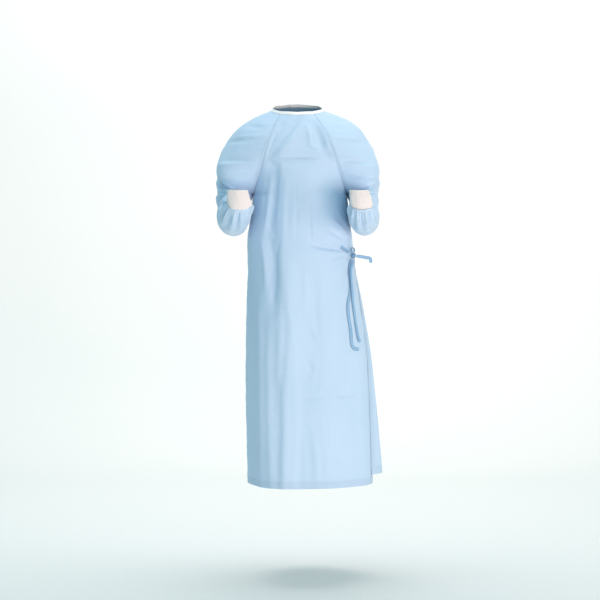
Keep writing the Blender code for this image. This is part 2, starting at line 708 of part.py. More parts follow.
def make_binding(sheets, material, collection):
    """The neck binding: one tape along the top edges, from the under panel's end round the front to the flap's."""
    front, flap, under, sleeve_right, sleeve_left = sheets
    order = [(under, 1), (sleeve_left, -1), (front, -1), (sleeve_right, 1), (flap, 1)]
    edge, outward, rise = [], [], []
    for sheet, way in order:
        top_row = sheet.index[0, ::way]
        points = sheet.points[top_row]
        normals = sheet.normals[top_row]
        upward = unit(points - sheet.points[sheet.index[1, ::way]])
        if edge:
            points[0] = (points[0] + edge.pop()) / 2
            normals[0] = unit(normals[0] + outward.pop())
            upward[0] = unit(upward[0] + rise.pop())
        edge.extend(points)
        outward.extend(normals)
        rise.extend(upward)
    edge, outward, rise = np.array(edge), np.array(outward), np.array(rise)
    rise = unit(rise + [0, 0, BINDING_LIFT])
    outer = edge + outward * BINDING_PROUD + rise * BINDING_GAP
    grid = np.stack([outer + rise * BINDING_HEIGHT, outer])
    inner = grid - outward * BINDING_WALL
    sheet = Sheet("neck_binding", grid, flip=True)
    return make_wall(sheet.name, sheet.points, inner.reshape(-1, 3), sheet.quads, material, collection)


def make_strip(name, spine, across, width, wall, material, collection):
    """A flat strip along a spine of points, its width along the directions given for each."""
    half = unit(across) * width / 2
    sheet = Sheet(name, np.stack([spine - half, spine + half], axis=1), flip=False)
    outer = sheet.points + sheet.normals * wall / 2
    inner = sheet.points - sheet.normals * wall / 2
    return make_wall(name, outer, inner, sheet.quads, material, collection)


def on_front(front, spots):
    """Points on the front panel's left half at each x and z, moved out, and the outward directions there."""
    grid = front.points[front.index][:, FRONT_CELLS // 2 :]
    normals = front.normals[front.index][:, FRONT_CELLS // 2 :]
    levels = grid[:, 0, 2]
    points, outward = [], []
    for x, z, out in spots:
        row = int(np.clip(np.searchsorted(-levels, -z) - 1, 0, len(levels) - 2))
        share = (levels[row] - z) / (levels[row] - levels[row + 1])
        line = grid[row] * (1 - share) + grid[row + 1] * share
        facing = normals[row] * (1 - share) + normals[row + 1] * share
        spot = [np.interp(x, line[:, 0], line[:, axis]) for axis in range(3)]
        normal = unit(np.array([np.interp(x, line[:, 0], facing[:, axis]) for axis in range(3)]))
        points.append(np.array(spot) + normal * out)
        outward.append(normal)
    return np.array(points), np.array(outward)


def strip_on_front(name, front, spots, material, collection):
    """A stretch of tie that lies on the front panel."""
    spine, outward = on_front(front, spots)
    across = np.cross(np.gradient(spine, axis=0), outward)
    spine = spine + outward * (TIE_CLEAR + TIE_WALL / 2)
    return make_strip(name, spine, across, TIE_WIDTH, TIE_WALL, material, collection)


def at_level(sheet, level, columns):
    """Points of some columns of a piece at a level, and the outward directions there."""
    grid = sheet.points[sheet.index[:, columns]]
    normals = sheet.normals[sheet.index[:, columns]]
    points, outward = [], []
    for column in range(len(columns)):
        height = -grid[:, column, 2]
        points.append([np.interp(-level, height, grid[:, column, axis]) for axis in range(3)])
        outward.append([np.interp(-level, height, normals[:, column, axis]) for axis in range(3)])
    return np.array(points), unit(np.array(outward))


def flap_tie(front, flap, middle):
    """The stretch of tie from the flap's free edge round the side to the knot, and its widths' directions."""
    on_flap, flap_out = at_level(flap, TIE_LEVEL, [-2, -1])
    on_side, side_out = at_level(front, TIE_LEVEL, [-1, -2])
    lift = TIE_CLEAR + TIE_WALL / 2
    spine = np.concatenate([on_flap + flap_out * lift, on_side + side_out * (lift + TIE_OVER_EDGE)])
    towards = unit(spine[-1] - middle)
    last = middle + towards * (KNOT_SIZE[0] / 2 + TIE_CLEAR)
    spine = np.vstack([spine, last])
    outward = np.vstack([flap_out, side_out, side_out[-1:]])
    return spine, np.cross(np.gradient(spine, axis=0), outward)


def make_knot(middle, outward, material, collection):
    """The knot: a soft lump turned to lie along the side."""
    bpy.ops.mesh.primitive_cube_add(size=1, location=middle, scale=KNOT_SIZE)
    knot = bpy.context.object
    knot.name = "waist_tie_knot"
    knot.rotation_euler[2] = np.arctan2(outward[0], -outward[1])
    rounding = knot.modifiers.new("rounding", "SUBSURF")
    rounding.levels = 2
    rounding.render_levels = 2
    knot.data.materials.append(material)
    for holder in list(knot.users_collection):
        holder.objects.unlink(knot)
    collection.objects.link(knot)


def make_tie(front, flap, material, collection):
    """The knot, the two stretches that pull on it, its loop, its loose end and its two tails."""
    spot, outward = on_front(front, [(KNOT_X, TIE_LEVEL, KNOT_OUT)])
    middle = spot[0]
    make_knot(middle, outward[0], material, collection)
    strip_on_front("waist_tie_front", front, TIE_FRONT, material, collection)
    strip_on_front("waist_tie_tail_1", front, TIE_TAIL_1, material, collection)
    strip_on_front("waist_tie_tail_2", front, TIE_TAIL_2, material, collection)
    end = middle + np.array(TIE_END)
    end_across = np.cross(np.gradient(end, axis=0), END_FACING)
    make_strip("waist_tie_end", end, end_across, TIE_WIDTH, TIE_WALL, material, collection)
    loop = middle + np.array(TIE_LOOP)
    loop_across = np.tile(LOOP_ACROSS, (len(loop), 1))
    make_strip("waist_tie_loop", loop, loop_across, TIE_WIDTH, TIE_WALL, material, collection)
    spine, across = flap_tie(front, flap, middle)
    make_strip("waist_tie_flap", spine, across, TIE_WIDTH, TIE_WALL, material, collection)


def make_tab(under, material, collection):
    """The neck closure: a patch made from the under panel's points, moved out."""
    columns = slice(*TAB_COLUMNS)
    points = under.points[under.index[:2, columns]]
    normals = under.normals[under.index[:2, columns]]
    rows = [points[0] * (1 - share) + points[1] * share for share in TAB_ROWS]
    outward = unit(normals[0] + normals[1])
    inner = np.stack(rows) + outward * SEAM_GAP
    sheet = Sheet("neck_tab", inner + outward * TAB_WALL, flip=True)
    make_wall(sheet.name, sheet.points, inner.reshape(-1, 3), sheet.quads, material, collection)


def clear_scene():
    """Removes what the startup file holds."""
    for piece in list(bpy.data.objects):
        bpy.data.objects.remove(piece)


def main():
    """Builds the gown."""
    clear_scene()
    collection = bpy.data.collections.new("surgical_gown")
    bpy.context.scene.collection.children.link(collection)
    cloth = colour_material("cloth", 0.72)
    tie = colour_material("tie", 0.72)
    knit = colour_material("knit", 0.9)
    binding = colour_material("binding", 0.8)
    sheets = [
        front_sheet(),
        flap_sheet(),
        under_sheet(),
        sleeve_sheet("sleeve_right", -1),
        sleeve_sheet("sleeve_left", 1),
    ]
    join_seams(sheets)
    for sheet in sheets:
        make_sheet(sheet, cloth, collection)
    make_cuff("cuff_right", -1, knit, collection)
    make_cuff("cuff_left", 1, knit, collection)
    make_binding(sheets, binding, collection)
    make_tab(sheets[2], binding, collection)
    make_tie(sheets[0], sheets[1], tie, collection)


main()
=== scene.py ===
"""Looks of a worn surgical gown: thin nonwoven cloth, rib knit, binding tape, ties and stitches.

Metres, +Z up. The origin is the middle of the neck opening at shoulder height, the front faces -Y and the
wearer's left is +X. Every cloth piece is a thin closed shell on the form of the solid that it replaces.
"""

import itertools
import logging
from dataclasses import dataclass
from enum import Enum
from types import SimpleNamespace
from typing import Sequence

import bpy
import numpy as np
from mathutils import Matrix


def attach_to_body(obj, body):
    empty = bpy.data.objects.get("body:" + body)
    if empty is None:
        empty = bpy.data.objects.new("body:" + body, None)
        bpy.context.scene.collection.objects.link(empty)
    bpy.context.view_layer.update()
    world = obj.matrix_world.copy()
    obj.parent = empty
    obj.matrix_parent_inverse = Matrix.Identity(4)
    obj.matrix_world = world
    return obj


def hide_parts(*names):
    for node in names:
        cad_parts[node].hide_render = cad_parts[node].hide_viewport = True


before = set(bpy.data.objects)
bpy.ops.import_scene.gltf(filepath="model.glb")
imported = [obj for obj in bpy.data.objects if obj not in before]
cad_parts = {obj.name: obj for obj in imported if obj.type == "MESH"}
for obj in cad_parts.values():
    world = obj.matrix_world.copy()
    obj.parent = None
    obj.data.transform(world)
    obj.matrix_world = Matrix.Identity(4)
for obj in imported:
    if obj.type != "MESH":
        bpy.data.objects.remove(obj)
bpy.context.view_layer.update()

LOG = logging.getLogger("surgical_gown")
Array = np.ndarray
Pair = tuple[float, float]
Triple = tuple[float, float, float]
BODY = "root"

# Levels of the gown
UNDERARM = -0.262
HEM = -1.157
FLOOR = -1.457

# Neck opening, measured where the panels meet the binding
NECK_X = -0.008
NECK_Y = -0.005
NECK_HALF_WIDTH = 0.0845
NECK_HALF_DEPTH = 0.073
NECK_SIDE_HEIGHT = 0.003
NECK_TILT = 0.0235
FRONT_SEAM_ANGLE = 38
BACK_SEAM_ANGLE = 130

# How full the sections are: their tangents' lengths as shares of the distance between their points
CHEST_FULLNESS = 1.1
UNDERARM_FULLNESS = 1.2
BACK_FULLNESS = 1.18

# The outer flap over the panel under it, in metres and in shares of the way across the back
LAYER = 0.0045
FLAP_CORNER_LIFT = 0.028
FLAP_RISES_FROM = 0.08
FLAP_STANDS_FROM = 0.62
FLAP_LIFTS_FROM = 0.60
FLAP_LIES_BACK = 0.97
FLAP_EDGE_SETTLES = 0.0040
FLAP_WRAPS_FROM = 0.95
FLAP_LIES_FROM = 1.01
FLAP_LYING_WIDTH = 0.05
FLAP_LYING_EDGE = 0.01
TROUGHS_FADE_FROM = 0.12
TROUGHS_END_AT = 0.03

# Thickness of the shown cloth, and how far in from a seam the large folds fade out, as a share of a piece
THIN = 0.0007
FADE_SHARE = 0.10
FADE_SEAM = 0.22

# On the flat cloth: the turned hem, where doubled cloth at a seam and at a free edge ends, how far in from a
# seam the small creases reach their full height, and how far a thread stands off
HEM_TURN = 0.022
HEM_STITCHES = HEM_TURN - 0.002
DOUBLED_SEAM = (0.007, 0.010)
DOUBLED_EDGE = (0.013, 0.016)
DOUBLED_HEM = (HEM_TURN, HEM_TURN + 0.003)
CREASES_FULL = 0.03
THREAD_PROUD = 0.0002

# Columns of a panel's grid just inside its first and its last side edge, and rows that stitches leave free
FIRST_SEAM = 5
LAST_SEAM = -6
FREE_ROWS = 3

# How sharply creases, folds and bulges fade at their ends
CREASE_FADE = 0.7
FOLD_FADE = 0.8
BULGE_FADE = 1.5

# Numbers that mix a noise's cells and seed
CELL_MIX = np.array([73856093, 19349663, 83492791])
SEED_MIX = 2654435761
LAST_MIX = 1274126177

# Places along a sleeve, in rings: how many the yoke counts for, and the last one at the cuff
YOKE_RINGS = 9.0
LAST_RING = 10


class Side(Enum):
    """The wearer's sides, as the sign of their x."""

    RIGHT = -1
    LEFT = 1


class Hold(Enum):
    """How a sheet of cloth is held."""

    HUNG = "hung"
    GATHERED = "gathered"
    STRETCHED = "stretched"


def cubic(start: Array, leave: Array, end: Array, arrive: Array, share: Array) -> Array:
    """Reads the cubic curve between two points with two tangents.

    Args:
        start: where the curve starts.
        leave: the tangent there.
        end: where it ends.
        arrive: the tangent there.
        share: shares of the way along.

    Returns:
        The points at those shares.
    """
    square = share * share
    cube = square * share
    return (
        start * (2 * cube - 3 * square + 1)
        + leave * (cube - 2 * square + share)
        + end * (3 * square - 2 * cube)
        + arrive * (cube - square)
    )


def smooth_step(low: float, high: float, value: Array) -> Array:
    """Returns 0 below low, 1 above high, and an even slope between."""
    share = np.clip((value - low) / (high - low), 0, 1)
    return share * share * (3 - 2 * share)


def unit(vectors: Array) -> Array:
    """Returns the vectors at a length of one."""
    return vectors / np.maximum(np.linalg.norm(vectors, axis=-1, keepdims=True), 1e-12)


def combine(*parts: Array) -> Array:
    """Joins numbers and grids as the last axis of one grid."""
    return np.stack(np.broadcast_arrays(*parts), axis=-1)


def run_along(points: Array) -> Array:
    """How far each point of a line is from its start, along the line."""
    return np.concatenate([[0], np.cumsum(np.linalg.norm(np.diff(points, axis=0), axis=-1))])


def read_line(wanted: Array, keys: Array, values: Array) -> Array:
    """Reads rows of three values between their keys, at one wanted key or more."""
    return combine(*(np.interp(wanted, keys, values[:, axis]) for axis in range(3)))


def evened(values: Array) -> Array:
    """Means of each five neighbouring rows, which leaves out two rows at either end."""
    kernel = np.ones(5) / 5
    return combine(*(np.convolve(values[:, axis], kernel, mode="valid") for axis in range(3)))


def lattice_noise(places: Array, seed: int) -> Array:
    """Smooth noise between -1 and 1, the same at each run.

    Args:
        places: points, in cells of the noise.
        seed: which noise to give.

    Returns:
        One value for each point.
    """
    cell = np.floor(places).astype(np.int64)
    share = places - cell
    share = share * share * (3 - 2 * share)
    total = np.zeros(places.shape[:-1])
    for corner in itertools.product((0, 1), repeat=3):
        mixed = (cell + corner) @ CELL_MIX + seed * SEED_MIX
        mixed = mixed & 0xFFFFFFFF
        mixed = ((mixed ^ (mixed >> 13)) * LAST_MIX) & 0xFFFFFFFF
        value = ((mixed ^ (mixed >> 16)) & 0xFFFF) / 0x7FFF - 1
        total += value * np.prod(np.where(corner, share, 1 - share), axis=-1)
    return total


class Table:
    """Rows of named columns, read as a smooth curve at any key of the first column."""

    def __init__(self, names: str, rows: Sequence[Sequence[float]]) -> None:
        """Stores the rows.

        Args:
            names: the columns' names, the key's first.
            rows: one row of numbers for each key.
        """
        self.names = names.split()[1:]
        values = np.array(rows, float)
        self.keys = values[:, 0]
        self.values = values[:, 1:]
        self.slopes = np.gradient(self.values, self.keys, axis=0)

    def at(self, keys: Array) -> SimpleNamespace:
        """Reads the table.

        Args:
            keys: where to read it.

        Returns:
            The columns at these keys, each as an array under its name.
        """
        keys = np.atleast_1d(np.asarray(keys, float))
        row = np.clip(np.searchsorted(self.keys, keys, side="right") - 1, 0, len(self.keys) - 2)
        step = (self.keys[row + 1] - self.keys[row])[:, None]
        share = (keys - self.keys[row])[:, None] / step
        leave, arrive = self.slopes[row] * step, self.slopes[row + 1] * step
        found = cubic(self.values[row], leave, self.values[row + 1], arrive, share)
        return SimpleNamespace(**dict(zip(self.names, found.T)))


def neck_ring(angle: float) -> Array:
    """A point on the neck opening.

    Args:
        angle: degrees round it, 0 at the front, 90 at the wearer's left and 180 at the back.

    Returns:
        The point.
    """
    turn = np.radians(angle)
    x = NECK_X + NECK_HALF_WIDTH * np.sin(turn)
    y = NECK_Y - NECK_HALF_DEPTH * np.cos(turn)
    return np.array([x, y, NECK_SIDE_HEIGHT - NECK_TILT * np.cos(turn)])


FRONT_START = neck_ring(FRONT_SEAM_ANGLE) - [NECK_X, 0, 0]
BACK_START = neck_ring(BACK_SEAM_ANGLE) - [NECK_X, 0, 0]
SIDE_START = neck_ring(90) - [NECK_X, 0, 0]

# Raglan seams, from the neck (0) to the underarm (1). Each x is out from the middle. sleeve and body are the
# turns, in degrees towards the front or the back, of the cloth that leaves the seam on either side.
FRONT_SEAM = Table(
    "seam x y z sleeve body",
    [
        (0.00, *FRONT_START, -35, 35),
        (0.25, 0.081, -0.096, -0.070, -16, 16),
        (0.50, 0.104, -0.110, -0.132, -8, 10),
        (0.75, 0.122, -0.090, -0.194, 18, 34),
        (0.90, 0.138, -0.044, -0.241, 46, 66),
        (1.00, 0.148, 0.010, UNDERARM, 66, 84),
    ],
)
BACK_SEAM = Table(
    "seam x y z sleeve body",
    [
        (0.00, *BACK_START, -46, 46),
        (0.25, 0.093, 0.086, -0.045, -25, 25),
        (0.50, 0.116, 0.110, -0.115, -12, 12),
        (0.75, 0.132, 0.100, -0.190, 12, 30),
        (0.90, 0.143, 0.060, -0.240, 42, 66),
        (1.00, 0.148, 0.010, UNDERARM, 66, 84),
    ],
)

# The shoulder ridge, with its x out from the middle on either sleeve, and how full the sleeve is there
RIDGE = Table(
    "seam right left y z full",
    [
        (0.00, SIDE_START[0], SIDE_START[0], SIDE_START[1], SIDE_START[2], 1.0),
        (0.25, 0.159, 0.162, 0.002, -0.029, 0.95),
        (0.50, 0.221, 0.213, 0.004, -0.078, 1.0),
        (0.75, 0.2535, 0.241, 0.004, -0.148, 1.45),
        (0.90, 0.261, 0.249, 0.002, -0.195, 2.15),
        (1.00, 0.262, 0.249, 0.000, -0.225, 2.65),
    ],
)

# The middle of the front and of the back above the underarm, and the shares of the way across the back, from
# the wearer's right, where the outer flap and the panel under it end
YOKE = Table(
    "seam front_x front_y front_z back_x back_y back_z flap_end under_end",
    [
        (0.00, *neck_ring(0), *neck_ring(180), 0.80, 0.35),
        (0.25, -0.006, -0.101, -0.075, -0.004, 0.100, -0.030, 0.80, 0.35),
        (0.50, -0.003, -0.119, -0.135, -0.002, 0.125, -0.110, 0.79, 0.35),
        (0.75, -0.002, -0.131, -0.200, 0.000, 0.133, -0.190, 0.79, 0.35),
        (1.00, 0.000, -0.136, UNDERARM, 0.000, 0.134, UNDERARM, 0.80, 0.35),
    ],
)

# Sections of the body below the underarm. ridge is the most forward line of the front, which wanders to the
# wearer's right; plane and flat say how full the cloth is on either side of it. A flap_end above 1 lies on
# the front, that share of its width past the side seam. flare is how far the flap stands off there.
SKIRT = Table(
    "down right left side_y ridge_x ridge_y plane flat back_x back_y flap_end under_end flare",
    [
        (0.262, 0.148, 0.148, 0.010, 0.000, -0.136, 1.20, 1.20, 0.000, 0.134, 0.800, 0.35, 0.000),
        (0.320, 0.152, 0.153, 0.010, -0.004, -0.138, 1.20, 1.22, 0.000, 0.135, 0.840, 0.35, 0.000),
        (0.389, 0.164, 0.163, 0.008, -0.012, -0.140, 1.15, 1.25, 0.002, 0.136, 0.910, 0.35, 0.000),
        (0.489, 0.163, 0.172, 0.000, -0.024, -0.144, 1.00, 1.25, 0.004, 0.140, 0.995, 0.35, 0.000),
        (0.589, 0.166, 0.187, -0.006, -0.034, -0.149, 0.92, 1.22, 0.008, 0.144, 1.030, 0.35, 0.002),
        (0.740, 0.169, 0.208, -0.010, -0.042, -0.156, 0.88, 1.20, 0.014, 0.150, 1.045, 0.35, 0.006),
        (0.890, 0.169, 0.218, -0.012, -0.045, -0.162, 0.86, 1.20, 0.018, 0.156, 1.055, 0.35, 0.012),
        (1.040, 0.166, 0.224, -0.012, -0.046, -0.167, 0.86, 1.20, 0.020, 0.161, 1.062, 0.35, 0.020),
        (1.157, 0.163, 0.227, -0.012, -0.044, -0.171, 0.86, 1.20, 0.020, 0.165, 1.068, 0.35, 0.026),
    ],
)

# Rings of the sleeve from just below the underarm (0) to the cuff. x is out from the middle, inner on the
# body's side; turn swings the ring from level (0) to upright (90) and on; top and under are its reaches from
# its middle on the side of the crook and of the elbow.
SLEEVE = Table(
    "ring right_in right_out left_in left_out in_z out_z y turn top under",
    [
        (0, 0.148, 0.262, 0.148, 0.249, UNDERARM, -0.225, 0.010, 0, 0.076, 0.080),
        (1, 0.157, 0.262, 0.157, 0.248, -0.290, -0.265, -0.004, 10, 0.078, 0.086),
        (2, 0.159, 0.260, 0.159, 0.245, -0.316, -0.303, -0.018, 28, 0.070, 0.083),
        (3, 0.159, 0.256, 0.158, 0.242, -0.327, -0.323, -0.035, 43, 0.061, 0.072),
        (4, 0.157, 0.252, 0.155, 0.240, -0.331, -0.331, -0.060, 62, 0.059, 0.063),
        (5, 0.155, 0.250, 0.150, 0.238, -0.331, -0.331, -0.102, 84, 0.058, 0.058),
        (6, 0.151, 0.248, 0.146, 0.236, -0.329, -0.329, -0.155, 90, 0.056, 0.057),
        (7, 0.146, 0.244, 0.142, 0.232, -0.327, -0.327, -0.205, 92, 0.054, 0.057),
        (8, 0.141, 0.236, 0.141, 0.226, -0.325, -0.325, -0.242, 103, 0.050, 0.055),
        (9, 0.139, 0.224, 0.143, 0.218, -0.322, -0.322, -0.266, 125, 0.040, 0.046),
        (10, 0.140, 0.211, 0.146, 0.212, -0.311, -0.311, -0.284, 150, 0.0345, 0.0345),
    ],
)

# Rings of the bent knit cuff from the sleeve (0) to its opening (1)
CUFF = Table(
    "along right left right_half left_half y z turn",
    [
        (0.00, 0.1755, 0.1790, 0.0355, 0.0330, -0.2840, -0.3110, 150),
        (0.50, 0.1785, 0.1760, 0.0325, 0.0305, -0.2930, -0.2915, 166),
        (1.00, 0.1825, 0.1706, 0.0300, 0.0285, -0.2970, -0.2700, 176),
    ],
)


@dataclass(frozen=True)
class Crease:
    """A crest or trough drawn on a panel seen square on, from (x0, z0) to (x1, z1).

    A height above 0 is a crest. bow bends the line sideways, pinch lets its flanks dip the other way, and
    lean makes the flank on the right of the line, as it is walked, that much wider.
    """

    x0: float
    z0: float
    x1: float
    z1: float
    width: float
    height: float
    bow: float = 0.0
    pinch: float = 0.55
    lean: float = 1.0

    def heights(self, place: Array) -> Array:
        """Gives the crease's heights.

        Args:
            place: points given by x and z.

        Returns:
            A height for each point.
        """
        start = np.array([self.x0, self.z0])
        run = np.array([self.x1 - self.x0, self.z1 - self.z0])
        length = float(np.hypot(*run))
        share = ((place - start) @ run) / length**2
        sideways = (place - start) @ np.array([-run[1], run[0]]) / length
        sideways = sideways - self.bow * 4 * share * (1 - share)
        away = (sideways / np.where(sideways < 0, self.width * self.lean, self.width)) ** 2
        inside = np.clip(share, 0, 1)
        fade = (4 * inside * (1 - inside)) ** CREASE_FADE
        return self.height * fade * (1 - self.pinch * away) * np.exp(-away)


@dataclass(frozen=True)
class Fold:
    """A large fold of a panel: a broad crest or trough along a line, as on the panel's solid."""

    x0: float
    z0: float
    x1: float
    z1: float
    width: float
    height: float

    def heights(self, place: Array) -> Array:
        """Gives the fold's heights.

        Args:
            place: points given by x and z.

        Returns:
            A height for each point.
        """
        start = np.array([self.x0, self.z0])
        run = np.array([self.x1 - self.x0, self.z1 - self.z0])
        share = np.clip(((place - start) @ run) / (run @ run), 0, 1)
        away = np.linalg.norm(place - start - share[..., None] * run, axis=-1)
        fade = (4 * share * (1 - share)) ** FOLD_FADE
        return self.height * fade * (1 - smooth_step(0, self.width, away))


@dataclass(frozen=True)
class SleeveFold:
    """A bulge or crease of a sleeve: its ring, its angle round from the inner side, and its reach."""

    ring: float
    angle: float
    along: float
    around: float
    height: float
    slant: float = 0.0

    def heights(self, along: Array, angle: Array) -> Array:
        """Gives the fold's heights.

        Args:
            along: places along the sleeve, in rings.
            angle: degrees round it.

        Returns:
            A height for each point.
        """
        turned = (angle - self.angle + 180) % 360 - 180
        line = self.ring + self.slant * turned / 100
        away = np.abs(turned) / self.around
        near = np.clip(1 - ((along - line) / self.along) ** 2, 0, 1)
        return self.height * near**BULGE_FADE * np.clip(1 - away**2, 0, 1) ** 2


def in_metres(kind: type, rows: Sequence[Sequence[float]]) -> tuple:
    """Makes folds or creases from rows whose first seven numbers are in millimetres."""
    return tuple(kind(*(value / 1000 for value in row[:7]), *row[7:]) for row in rows)


FRONT_FOLDS = in_metres(Fold, (
    (12, -30, -100, -170, 22, -2.6),
    (28, -40, 100, -170, 26, -4),
    (-80, -155, 50, -162, 24, -3),
    (-82, -130, -94, -420, 30, -6.4),
    (-90, -330, -74, -640, 32, -9),
    (-118, -520, -105, -1280, 40, 6),
    (-40, -420, -46, -1400, 45, 6),
    (20, -450, 50, -900, 45, -4),
    (60, -700, 85, -1400, 50, 4),
    (130, -480, 150, -1400, 45, -5),
    (20, -418, 150, -430, 24, -4),
    (80, -340, 152, -415, 22, 3.5),
))
FLAP_FOLDS = in_metres(Fold, (
    (-100, -120, -75, -460, 34, -7),
    (-85, -300, -110, -1000, 40, 8),
    (-45, -420, -55, -1400, 38, -8),
    (10, -300, 0, -900, 40, 7),
    (65, -500, 55, -1400, 42, -8),
    (120, -560, 125, -1400, 36, 7),
    (-20, -250, 170, -440, 30, -6),
    (40, -180, 150, -330, 26, 4),
))
SLEEVE_FOLDS = tuple(SleeveFold(*row) for row in (
    (-4.2, 150, 1.6, 70, -0.006),
    (-1.6, 120, 1.2, 80, 0.005),
    (-0.2, 140, 0.9, 90, -0.006),
    (1.2, 170, 0.9, 80, 0.006),
    (2.6, 40, 0.9, 100, -0.006),
    (3.6, 180, 0.8, 60, -0.005),
    (4.7, 190, 0.9, 70, 0.005),
    (5.6, 60, 0.8, 110, 0.004),
    (6.4, 200, 0.8, 90, -0.005),
    (7.4, 250, 0.9, 110, 0.005),
))

# Smaller creases of the front: pulls from the neck, pressed lines, the pull of the tie and the skirt's lines
FRONT_CREASES = in_metres(Crease, (
    (-2, -32, -100, -156, 8, -1.8, 5, 0.2, 1.6),
    (13, -43, -87, -169, 30, 5, 4, 0.2, 0.6),
    (-46, -44, -96, -120, 16, -1.8, 4),
    (-70, -75, -106, -170, 7, -1.4, -3),
    (34, -36, 66, -140, 15, -1.8, 8),
    (48, -90, 100, -165, 15, -1.8, -6),
    (18, -40, 30, -130, 8, 1.2, 4),
    (30, -120, 98, -128, 8, 1.3, -4),
    (-78, -156, 70, -160, 5.5, -1.6, 3),
    (-60, -142, 60, -138, 7, 1.2, -2),
    (-84, -176, 10, -182, 7, 1, 3),
    (-70, -160, -94, -390, 13, -2, 6),
    (-88, -200, -112, -400, 10, 2.2, 4),
    (-40, -210, -46, -430, 10, 1.4, -6),
    (-16, -230, -12, -420, 8, -1, 4),
    (-96, -390, -84, -600, 12, -3, 12),
    (-62, -400, -78, -600, 11, -2.4, -12),
    (-78, -420, -82, -580, 10, 2.6, 0),
    (-122, -400, -104, -560, 10, 2, 6),
    (-50, -560, -62, -880, 14, -1.8, 8),
    (-92, -620, -86, -1180, 16, 2.2, -6),
    (-128, -560, -118, -1200, 14, 2.4, 4),
    (-66, -820, -70, -1200, 15, -2, 4),
    (-26, -640, -16, -1190, 16, 1.6, 10),
    (27, -296, 31, -420, 6, -1.6, 3),
    (30, -421, 144, -434, 6.5, -2.4, -5),
    (46, -404, 146, -426, 7, 1.8, -6),
    (70, -372, 148, -412, 7, -1.8, 4),
    (92, -340, 150, -396, 7, 1.6, 4),
    (108, -320, 153, -380, 6, -1.4, -3),
    (84, -470, 146, -450, 7, -1.4, 4),
    (90, -510, 148, -466, 8, 1.4, -4),
    (112, -560, 152, -486, 8, -1.4, -4),
    (2, -650, 46, -722, 7, -1.2, 4),
    (10, -480, 14, -640, 10, 1.2, 6),
    (50, -520, 58, -700, 12, -1.2, -6),
    (14, -768, 60, -818, 7, -1.2, -4),
    (44, -740, 30, -880, 8, 1, 5),
    (88, -884, 186, -880, 5, -1.4, 2),
    (-10, -886, 90, -884, 6, -0.8, 0),
    (83, -946, 81, -1034, 5, -1.4, 2),
    (74, -1046, 72, -1130, 5, -1.4, -2),
    (90, -1064, 130, -1092, 5.5, -1.2, 3),
    (30, -950, 52, -1170, 13, 1.4, 6),
    (120, -640, 140, -1120, 17, 1.6, 6),
    (170, -700, 186, -1180, 15, -1.6, -4),
    (0, -980, -4, -1180, 11, -1.2, 2),
))
BACK_CREASES = in_metres(Crease, (
    (-60, 10, -84, -220, 10, -2, 6),
    (-20, 4, -56, -160, 10, 1.6, -6),
    (20, 0, 56, -200, 11, -1.8, 6),
    (-100, -160, 80, -164, 6, -1.4, 3),
    (-90, -240, -20, -330, 9, 1.8, 6),
    (-10, -230, 130, -400, 10, -2.6, 10),
    (20, -250, 150, -430, 9, 2.2, 8),
    (-50, -330, 150, -446, 10, -2.2, 14),
    (30, -360, 160, -440, 8, 2, 4),
    (40, -520, 165, -462, 9, -1.8, -6),
    (70, -570, 170, -476, 10, 1.8, -6),
    (-98, -480, -104, -980, 14, -2.6, 8),
    (-66, -420, -70, -900, 13, 2.2, -6),
    (-26, -500, -20, -1180, 15, -2.4, 8),
    (22, -560, 30, -1180, 14, 2.4, -6),
    (84, -620, 90, -1190, 15, -2.2, 6),
    (140, -680, 150, -1190, 14, 2, 4),
    (-130, -700, -136, -1190, 13, 1.8, 4),
    (-160, -880, 180, -884, 5.5, -1.2, 3),
    (10, -900, 10, -1120, 5, -1.3, 2),
    (-80, -940, -120, -1080, 8, -1.4, 4),
    (100, -760, 130, -860, 7, 1.4, -4),
))
SLEEVE_CREASES = tuple(SleeveFold(*row) for row in (
    (-0.1, 180, 0.55, 70, 0.0034),
    (0.95, 180, 0.6, 80, -0.0054, 0.3),
    (1.6, 180, 0.55, 70, -0.003, -0.3),
    (2.3, 180, 0.5, 70, -0.0016),
    (-6.6, 70, 0.4, 60, -0.0018, 0.5),
    (-5.4, 60, 0.35, 70, 0.0016, 0.9),
    (-4.6, 100, 0.35, 60, -0.002, 0.8),
    (-3.4, 210, 0.4, 70, 0.002, -0.8),
    (-2.8, 60, 0.35, 70, -0.0024, 1.0),
    (-2.1, 90, 0.3, 80, 0.002, 0.7),
    (-1.3, 50, 0.3, 70, -0.0024, 0.9),
    (-0.6, 110, 0.3, 90, -0.002, 0.4),
    (0.2, 60, 0.28, 90, 0.0024, 0.5),
    (0.9, 90, 0.26, 100, -0.0026, 0.2),
    (1.5, 70, 0.26, 90, 0.0026, -0.2),
    (2.1, 90, 0.26, 110, -0.003, -0.3),
    (2.8, 100, 0.28, 90, 0.0024, -0.5),
    (3.4, 80, 0.3, 100, -0.0026, -0.7),
    (1.8, 250, 0.5, 70, 0.002, 0.6),
    (3.0, 280, 0.45, 70, -0.0022, 0.4),
    (4.1, 250, 0.45, 80, 0.0022, -0.4),
    (4.4, 60, 0.35, 80, 0.0022, -0.9),
    (5.2, 150, 0.35, 70, -0.0022, 0.9),
    (5.9, 300, 0.4, 80, -0.0022, 0.6),
    (6.8, 90, 0.35, 80, 0.002, -0.8),
    (7.1, 200, 0.35, 80, -0.0024, 0.7),
    (7.9, 20, 0.35, 70, -0.0022, -0.6),
    (8.3, 160, 0.3, 80, 0.002, 0.5),
))


def outlined(side: Side, x: Array, y: Array, z: Array) -> Array:
    """Points of a table whose x is out from the middle on this side."""
    return combine(side.value * x, y, z)


def neck_shift(seam: Array) -> Array:
    """How far the gown's middle sits to one side, all of it at the neck and none at the underarm."""
    return np.outer((1 - seam) ** 2, [NECK_X, 0, 0])


